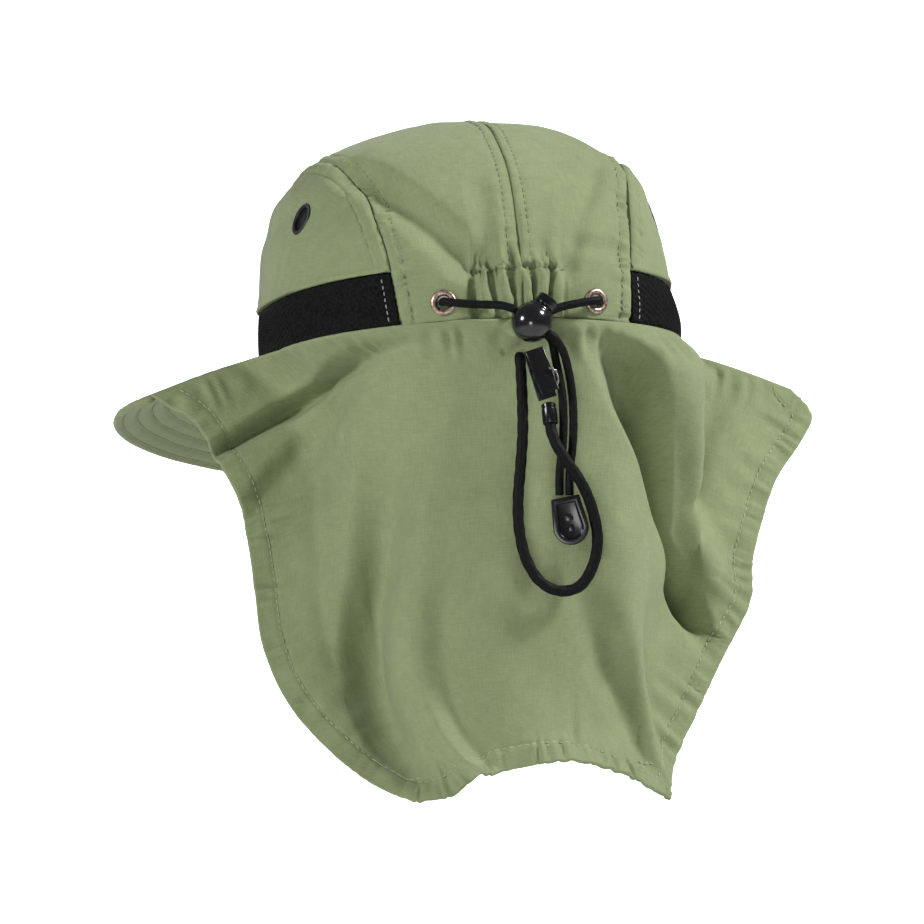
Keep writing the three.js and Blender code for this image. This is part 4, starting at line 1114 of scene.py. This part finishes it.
# %% Mould the clip
CLIP_LENGTH, CLIP_WIDTH, CLIP_WALL, PIN_RADIUS, PIVOT_RADIUS = 18, 6.6, 1.4, 0.7, 1.5
CLIP_CENTRE = Vector((-3.3, 109.2, -20.8))
CLIP_TURN = Matrix((
    Vector((0.287, 0, 0.958)).normalized(), Vector((0.958, 0, -0.287)).normalized(), Vector((0, 1, 0)),
)).transposed().to_4x4()
clip_place = Matrix.Scale(MM, 4) @ Matrix.Translation(CLIP_CENTRE) @ CLIP_TURN
LOWER_JAW = [(-1, -4.6), (1, -2.3), (1, -0.43), (0.56, -2.57), (-0.44, -2.57), (-1, -2)]
EAR = [(-0.29, -3.14), (0.29, -3.14), (0.13, 1.29), (-0.13, 1.29)]
NECK = [(-0.13, 0), (0.13, 0), (0.16, 3.7), (-0.16, 3.7)]
UPPER_JAW = [(-0.78, 7.43), (-0.71, 5.71), (-0.22, 2.71), (0.33, 2.43), (0.62, 1.71), (1, 0.29),
             (1, 2), (0.33, 4.43), (-0.22, 4.71)]


def extrude(bm, corners, way):
    """Fill an outline, draw it out into a solid, and give back the face at its far end."""
    face = bm.faces.new([bm.verts.new(corner) for corner in corners])
    grown = bmesh.ops.extrude_face_region(bm, geom=[face])["geom"]
    moved = [v for v in grown if isinstance(v, bmesh.types.BMVert)]
    bmesh.ops.translate(bm, verts=moved, vec=way)
    return [f for f in grown if isinstance(f, bmesh.types.BMFace)]


def outline_plate(bm, outline, width, middle=0.0):
    corners = [(along * CLIP_LENGTH / 2, middle - width / 2, up * PIN_RADIUS) for along, up in outline]
    extrude(bm, corners, (0, width, 0))


def cross_rod(bm, radius, width):
    turn = Matrix.Rotation(math.pi / 2, 4, "X")
    bmesh.ops.create_cone(
        bm, cap_ends=True, segments=24, radius1=radius, radius2=radius, depth=width, matrix=turn,
    )


def moulded(name, bm, place, rounding):
    bmesh.ops.recalc_face_normals(bm, faces=bm.faces)
    edges = [e for e in bm.edges if e.calc_face_angle(0) > math.radians(30)]
    bmesh.ops.bevel(
        bm, geom=edges, offset=rounding, offset_type="OFFSET", segments=3, profile=0.5,
        affect="EDGES", clamp_overlap=True, material=-1,
    )
    sharpen(bm, 50)
    bmesh.ops.transform(bm, verts=bm.verts, matrix=place)
    return finished(name, bm)


bm = bmesh.new()
outline_plate(bm, LOWER_JAW, CLIP_WIDTH)
for side in (-1, 1):
    outline_plate(bm, EAR, CLIP_WALL, side * (CLIP_WIDTH - CLIP_WALL) / 2)
cross_rod(bm, PIN_RADIUS, CLIP_WIDTH - CLIP_WALL / 4)
clip_body = fit(moulded("clip_body_moulded", bm, clip_place, 0.22), "clip_body", "cap")

bm = bmesh.new()
between_ears = CLIP_WIDTH - 2 * CLIP_WALL - 2 * CLEARANCE
cross_rod(bm, PIVOT_RADIUS, between_ears)
outline_plate(bm, NECK, between_ears)
outline_plate(bm, UPPER_JAW, CLIP_WIDTH)
clip_lever = fit(moulded("clip_lever_moulded", bm, clip_place, 0.22), "clip_lever", "lever")

# %% [markdown]
# A bent strip of steel keeps the jaws shut, and its edge glints between them. It could be a curve
# with a bevel, but it is flat, so its outline is extruded like the jaws'. It rides on the lever.

# %% Bend the clip's steel spring
SPRING_RADIUS, SPRING_WALL, SPRING_HEIGHT = 2.7, 0.4, 1.8
SPRING_MIDDLE = (-2.4, -2.1)
SPRING_LIFT, SPRING_STRETCH = 2.2, 1.4
bends = np.radians(np.linspace(-85, 85, 16))


def spring_edge(radius, angles):
    return [(SPRING_MIDDLE[0] + SPRING_STRETCH * radius * math.sin(a),
             SPRING_MIDDLE[1] - radius * math.cos(a), SPRING_LIFT) for a in angles]


bm = bmesh.new()
both_edges = spring_edge(SPRING_RADIUS, bends) + spring_edge(SPRING_RADIUS - SPRING_WALL, bends[::-1])
extrude(bm, both_edges, (0, 0, SPRING_HEIGHT))
spring = moulded("clip_spring_bent", bm, clip_place, 0.08)
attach(spring, "lever")

# %% Turn the ferrule
FERRULE_RADIUS, FERRULE_LENGTH, FERRULE_MOUTH = 2.7, 5, 2.5
leash_end = np.array(LEASH_ROUTE[-1])
leash_way = unit(leash_end - np.array(LEASH_ROUTE[-2]))
ferrule_profile = [
    (0, 1), (0, FERRULE_LENGTH), (1.9, FERRULE_LENGTH), (2.3, 4.9), (2.6, 4.5), (2.6, 3.6), (2.35, 3.45),
    (2.35, 3.0), (FERRULE_RADIUS, 2.8), (FERRULE_RADIUS, -2.2), (2.5, -FERRULE_MOUTH),
    (2.3, -FERRULE_MOUTH), (2.3, 1), (0, 1),
]
ferrule = fit(
    turned("clip_ferrule_turned", ferrule_profile, (leash_end, leash_way)), "clip_ferrule", "cap",
)

# %% [markdown]
# ## The cord end
# Both tails of the drawcord end in a flat moulded shell with a raised rim shaped like a U. The
# rim is what is left when the face is inset and its middle is pressed down.

# %% Mould the cord end
END_WIDTH, END_LENGTH, END_THICKNESS, END_RIM, END_RECESS = 12.5, 17, 4.6, 2.0, 1.3
END_CENTRE = Vector((-12.2, 107.5, -72.5))
END_TURN = Matrix((
    Vector((-0.966, 0.2, 0.17)).normalized(), Vector((0.17, 0, 0.985)).normalized(),
    Vector((0.2, 0.966, -0.03)).normalized(),
)).transposed().to_4x4()
end_place = Matrix.Scale(MM, 4) @ Matrix.Translation(END_CENTRE) @ END_TURN
bm = bmesh.new()
half = END_WIDTH / 2
low = -END_LENGTH / 2 + half
outline = [(half * 0.8, END_LENGTH / 2), (-half * 0.8, END_LENGTH / 2), (-half, low)]
outline += [(half * math.cos(a), low + half * math.sin(a)) for a in np.linspace(math.pi, 2 * math.pi, 15)[1:]]
top = extrude(bm, [(x, y, -END_THICKNESS / 2) for x, y in outline], (0, 0, END_THICKNESS))
bmesh.ops.inset_region(bm, faces=top, thickness=END_RIM, use_even_offset=True)
bmesh.ops.inset_region(bm, faces=top, thickness=0.25, depth=-END_RECESS, use_even_offset=True)
BOSS_HEIGHT = 1.5
bmesh.ops.create_cone(
    bm, cap_ends=True, segments=24, radius1=1.5, radius2=1.35, depth=BOSS_HEIGHT,
    matrix=Matrix.Translation((0, 1, (END_THICKNESS - BOSS_HEIGHT) / 2)),
)
block_place = Matrix.Translation((0, -2.6, END_THICKNESS / 2 - 1))
bmesh.ops.create_cube(bm, size=1, matrix=block_place @ Matrix.Diagonal((2, 2.4, 1, 1)))
cord_end = fit(moulded("cord_end_moulded", bm, end_place, 0.3), "cord_end", "cap")

# %% [markdown]
# ## Finishes
# Each finish is a small network of nodes. Cloth and cord read the pieces' own UV maps, whose
# units are metres of cloth, so threads keep their real size. Hard parts read Object coordinates.

# %% Helpers for materials
class Finish:
    """A material with one shader, and short ways to add the nodes that feed it."""

    def __init__(self, name, colour, roughness, **sockets):
        self.material = bpy.data.materials.new(name)
        self.material.use_nodes = True
        self.nodes = self.material.node_tree.nodes
        self.links = self.material.node_tree.links
        self.shader = self.nodes["Principled BSDF"]
        self.shader.inputs["Base Color"].default_value = (*colour, 1)
        self.shader.inputs["Roughness"].default_value = roughness
        for socket, value in sockets.items():
            self.shader.inputs[socket.replace("_", " ")].default_value = value
        self.places = self.nodes.new("ShaderNodeTexCoord")

    def set(self, socket, value):
        if isinstance(value, bpy.types.NodeSocket):
            self.links.new(value, socket)
        else:
            socket.default_value = value

    def add(self, kind, output, **inputs):
        node = self.nodes.new(kind)
        for name, value in inputs.items():
            self.set(node.inputs[name.replace("_", " ")], value)
        return node.outputs[output]

    def scaled(self, source, scale, turn=0.0):
        return self.add(
            "ShaderNodeMapping", "Vector", Vector=self.places.outputs[source], Scale=scale,
            Rotation=(0, 0, turn),
        )

    def noise(self, vector, scale, detail=2.0):
        return self.add("ShaderNodeTexNoise", "Fac", Vector=vector, Scale=scale, Detail=detail)

    def sum(self, *shares):
        """Add up sockets, each times its share."""
        total = None
        for socket, share in shares:
            node = self.nodes.new("ShaderNodeMath")
            node.operation = "MULTIPLY_ADD"
            self.set(node.inputs[0], socket)
            node.inputs[1].default_value = share
            if total is not None:
                self.links.new(total, node.inputs[2])
            else:
                node.inputs[2].default_value = 0
            total = node.outputs[0]
        return total

    def blend(self, factor, low, high, first, second):
        """A colour between two colours, as a factor goes from low to high."""
        ramp = self.nodes.new("ShaderNodeValToRGB")
        ramp.color_ramp.elements[0].position = low
        ramp.color_ramp.elements[1].position = high
        ramp.color_ramp.elements[0].color = (*first, 1)
        ramp.color_ramp.elements[1].color = (*second, 1)
        self.links.new(factor, ramp.inputs["Fac"])
        return ramp.outputs["Color"]

    def paint(self, colour):
        self.links.new(colour, self.shader.inputs["Base Color"])

    def rough(self, factor, low, high):
        node = self.nodes.new("ShaderNodeMapRange")
        self.links.new(factor, node.inputs["Value"])
        node.inputs["To Min"].default_value = low
        node.inputs["To Max"].default_value = high
        self.links.new(node.outputs["Result"], self.shader.inputs["Roughness"])

    def bump(self, *layers):
        """Raise the surface by layers of (height, strength, distance in mm)."""
        normal = None
        for height, strength, distance in layers:
            node = self.nodes.new("ShaderNodeBump")
            self.links.new(height, node.inputs["Height"])
            node.inputs["Strength"].default_value = strength
            node.inputs["Distance"].default_value = distance * MM
            if normal is not None:
                self.links.new(normal, node.inputs["Normal"])
            normal = node.outputs["Normal"]
        self.links.new(normal, self.shader.inputs["Normal"])


def dress(finish, *pieces):
    for piece in pieces:
        piece.data.materials.clear()
        piece.data.materials.append(finish.material)


# %% [markdown]
# ### Woven nylon
# The cloth is a plain weave of fine nylon with a peached, matte face. Warp and weft are never
# even, so each is a noise stretched along its own thread. Washing leaves soft blotches and faint
# creases, which two larger noises give.

# %% Weave the green cloth
ACROSS_THREAD, ALONG_THREAD = 2300, 170


def woven(name, dark, light, roughness=0.82):
    cloth = Finish(name, light, roughness, Sheen_Weight=0.12, Sheen_Roughness=0.5, Specular_IOR_Level=0.25)
    warp = cloth.noise(cloth.scaled("UV", (ACROSS_THREAD, ALONG_THREAD, 1)), 1, 2)
    weft = cloth.noise(cloth.scaled("UV", (ALONG_THREAD, ACROSS_THREAD, 1)), 1, 2)
    blotch = cloth.noise(cloth.places.outputs["Object"], 24, 3)
    crease = cloth.noise(cloth.places.outputs["Object"], 170, 4)
    tone = cloth.sum((warp, 0.3), (weft, 0.3), (blotch, 0.25), (crease, 0.15))
    cloth.paint(cloth.blend(tone, 0.28, 0.72, dark, light))
    cloth.bump((crease, 0.45, 0.9), (cloth.sum((warp, 0.5), (weft, 0.5)), 0.4, 0.16))
    return cloth


crown_cloth = woven("crown_nylon", (0.16, 0.195, 0.092), (0.28, 0.335, 0.172))
cape_cloth = woven("cape_nylon", (0.165, 0.2, 0.095), (0.29, 0.345, 0.18))
bill_cloth = woven("bill_nylon", (0.145, 0.178, 0.082), (0.25, 0.3, 0.15))
dress(crown_cloth, *(p.piece for p in centre_panels.values()), *(p.piece for p in side_panels.values()))
dress(cape_cloth, cape.piece)
dress(bill_cloth, bill.piece)

# %% [markdown]
# ### Thread, knit and braid
# Thread is a little shinier than cloth. The knit's loops, and its holes as painted shade, come from
# cells along the slanting ribs, and the braid's yarn from stripes along the cord.

# %% Spin the yarns
def thread_finish(name, dark, light):
    thread = Finish(name, light, 0.6, Sheen_Weight=0.1)
    fibre = thread.noise(thread.places.outputs["Object"], 1600, 2)
    thread.paint(thread.blend(fibre, 0.35, 0.65, dark, light))
    thread.bump((fibre, 0.3, 0.05))
    return thread


dress(thread_finish("thread_green", (0.15, 0.17, 0.09), (0.24, 0.27, 0.155)), threads["green"])
dress(thread_finish("thread_pale_green", (0.3, 0.34, 0.2), (0.45, 0.5, 0.33)), threads["pale_green"])
dress(thread_finish("thread_pale", (0.35, 0.36, 0.33), (0.55, 0.56, 0.52)), threads["pale"])

knit = Finish("knitted_mesh", (0.004, 0.004, 0.0045), 0.8, Specular_IOR_Level=0.12)
cells = knit.add(
    "ShaderNodeTexVoronoi", "Distance", Vector=knit.scaled("UV", (900, 900, 1), 0.4), Scale=1.0,
)
fuzz = knit.noise(knit.scaled("UV", (2600, 2600, 1)), 1, 2)
# Painted shade: where the cells mark a hole, the knit is painted darker, standing in for the shadow inside
# the opening.
painted_hole_shade = knit.sum((cells, 0.8), (fuzz, 0.3))
knit.paint(knit.blend(painted_hole_shade, 0.2, 0.8, (0.009, 0.009, 0.0095), (0.002, 0.002, 0.002)))
knit.bump((cells, 0.6, 0.3), (fuzz, 0.3, 0.08))
dress(knit, *(b.piece for b in bands.values()))

YARN_SCALE, YARN_SLANT = (5200, 700, 1), 0.5
braid = Finish("braided_cord", (0.004, 0.004, 0.0045), 0.62, Specular_IOR_Level=0.12)
yarn = braid.noise(braid.scaled("UV", YARN_SCALE, YARN_SLANT), 1, 2)
cross_yarn = braid.noise(braid.scaled("UV", YARN_SCALE, -YARN_SLANT), 1, 2)
yarns = braid.sum((yarn, 0.5), (cross_yarn, 0.5))
braid.paint(braid.blend(yarns, 0.35, 0.65, (0.002, 0.002, 0.0022), (0.008, 0.008, 0.009)))
braid.bump((yarns, 0.5, 0.12))
dress(braid, drawcord_left, drawcord_right, tail_near, tail_far, leash)

# %% [markdown]
# ### Plastic, enamel and bronze
# Moulded plastic is smooth but not perfect: fine scratches change its roughness. The grommets
# are antique bronze, darker in patches where the finish is still on.

# %% Finish the hard parts
def plastic(name, colour, low, high, grain=0.02, **sockets):
    part = Finish(name, colour, low, **sockets)
    scratches = part.noise(part.scaled("Object", (900, 900, 5200)), 1, 4)
    mould = part.noise(part.places.outputs["Object"], 700, 2)
    shade = tuple(min(1, c * 1.6) for c in colour)
    part.paint(part.blend(mould, 0.3, 0.7, colour, shade))
    part.rough(scratches, low, high)
    part.bump((mould, 0.25, grain))
    return part


gloss = plastic("gloss_black_plastic", (0.006, 0.006, 0.007), 0.1, 0.24, Coat_Weight=0.3, Coat_Roughness=0.08)
satin = plastic("satin_black_plastic", (0.004, 0.004, 0.005), 0.16, 0.3, grain=0.04)
dress(gloss, ball)
dress(satin, plunger, clip_body, clip_lever, ferrule, cord_end)

enamel = plastic("black_enamel", (0.007, 0.007, 0.008), 0.3, 0.45, Specular_IOR_Level=0.35)
dress(enamel, rings["vent_eyelet_left"], rings["vent_eyelet_right"])

bronze = Finish("antique_bronze", (0.4, 0.3, 0.24), 0.35, Metallic=1.0)
patina = bronze.noise(bronze.places.outputs["Object"], 900, 4)
bronze.paint(bronze.blend(patina, 0.35, 0.62, (0.22, 0.15, 0.115), (0.55, 0.43, 0.36)))
bronze.rough(patina, 0.28, 0.55)
bronze.bump((patina, 0.3, 0.03))
dress(bronze, rings["grommet_left"], rings["grommet_right"])

steel = Finish("bright_steel", (0.72, 0.72, 0.74), 0.22, Metallic=1.0)
grind = steel.noise(steel.scaled("Object", (400, 400, 4000)), 1, 3)
steel.paint(steel.blend(grind, 0.3, 0.7, (0.55, 0.55, 0.57), (0.8, 0.8, 0.82)))
steel.rough(grind, 0.16, 0.34)
steel.bump((grind, 0.2, 0.02))
dress(steel, spring)

# %% [markdown]
# ## The free cords
# The two tails and the leash hang free. For each, points are sampled along its line and the pieces
# that it carries are listed, and nothing more is done with them.

for cord, line, diameter, spots, carried in (
    (tail_near, tail_near_line, CORD, 40, [cord_end]),
    (tail_far, tail_far_line, CORD, 40, [cord_end]),
    (leash, leash_line, LEASH, 120, [ferrule, clip_body, clip_lever]),
):
    [tuple(p) for p in line.at(np.linspace(0, 1, spots)) * MM]
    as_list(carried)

# %% [markdown]
# ## Floor, backdrop and light
# The floor is pale and plain. A white panel stands behind the cap, as in a product picture. The
# key light stands high on the wearer's right, a weaker one fills the wearer's left, and a small
# one near the camera gives the hard parts a highlight, so the folds keep their shadows.

# %% Set up the studio
def plain_stage(name, colour, glow, corners):
    bm = bmesh.new()
    bm.faces.new([bm.verts.new(c) for c in corners])
    bmesh.ops.recalc_face_normals(bm, faces=bm.faces)
    stage = finished(name, bm)
    paint = Finish(name, colour, 0.9)
    paint.shader.inputs["Emission Color"].default_value = (1, 1, 1, 1)
    paint.shader.inputs["Emission Strength"].default_value = glow
    dress(paint, stage)


FLOOR, FLOOR_REACH = -0.6, 12
BACKDROP_FROM, BACKDROP_TO, BACKDROP_BEHIND, BACKDROP_TOP = -1.9, 1.1, -2.2, 1.1
plain_stage("studio_floor", (0.85, 0.85, 0.84), 0.0, [
    (x * FLOOR_REACH, y * FLOOR_REACH, FLOOR) for x, y in ((-1, -1), (1, -1), (1, 1), (-1, 1))])
plain_stage("studio_backdrop", (0.9, 0.9, 0.9), 1.1, [
    (BACKDROP_FROM, BACKDROP_BEHIND, FLOOR), (BACKDROP_TO, BACKDROP_BEHIND, FLOOR),
    (BACKDROP_TO, BACKDROP_BEHIND, BACKDROP_TOP), (BACKDROP_FROM, BACKDROP_BEHIND, BACKDROP_TOP)])


def soft_light(name, place, size, power, aim=(0, 0.03, -0.04)):
    light = bpy.data.lights.new(name, "AREA")
    light.shape = "DISK"
    light.size = size
    light.energy = power
    lamp = bpy.data.objects.new(name, light)
    lamp.matrix_world = Matrix.Translation(Vector(place)) @ (
        Vector(aim) - Vector(place)).to_track_quat("-Z", "Y").to_matrix().to_4x4()
    COLLECTION.objects.link(lamp)


soft_light("key_light", (-1.2, 0.62, 1.1), 0.35, 36)
soft_light("fill_light", (1.35, 0.6, 0.45), 0.4, 15)
soft_light("camera_light", (0.5, 1.5, -0.3), 0.4, 3.6)
world = bpy.data.worlds.new("studio_air")
world.use_nodes = True
world.node_tree.nodes["Background"].inputs["Color"].default_value = (0.95, 0.97, 1.0, 1)
world.node_tree.nodes["Background"].inputs["Strength"].default_value = 0.13
bpy.context.scene.world = world
bpy.context.scene.view_settings.view_transform = "Standard"
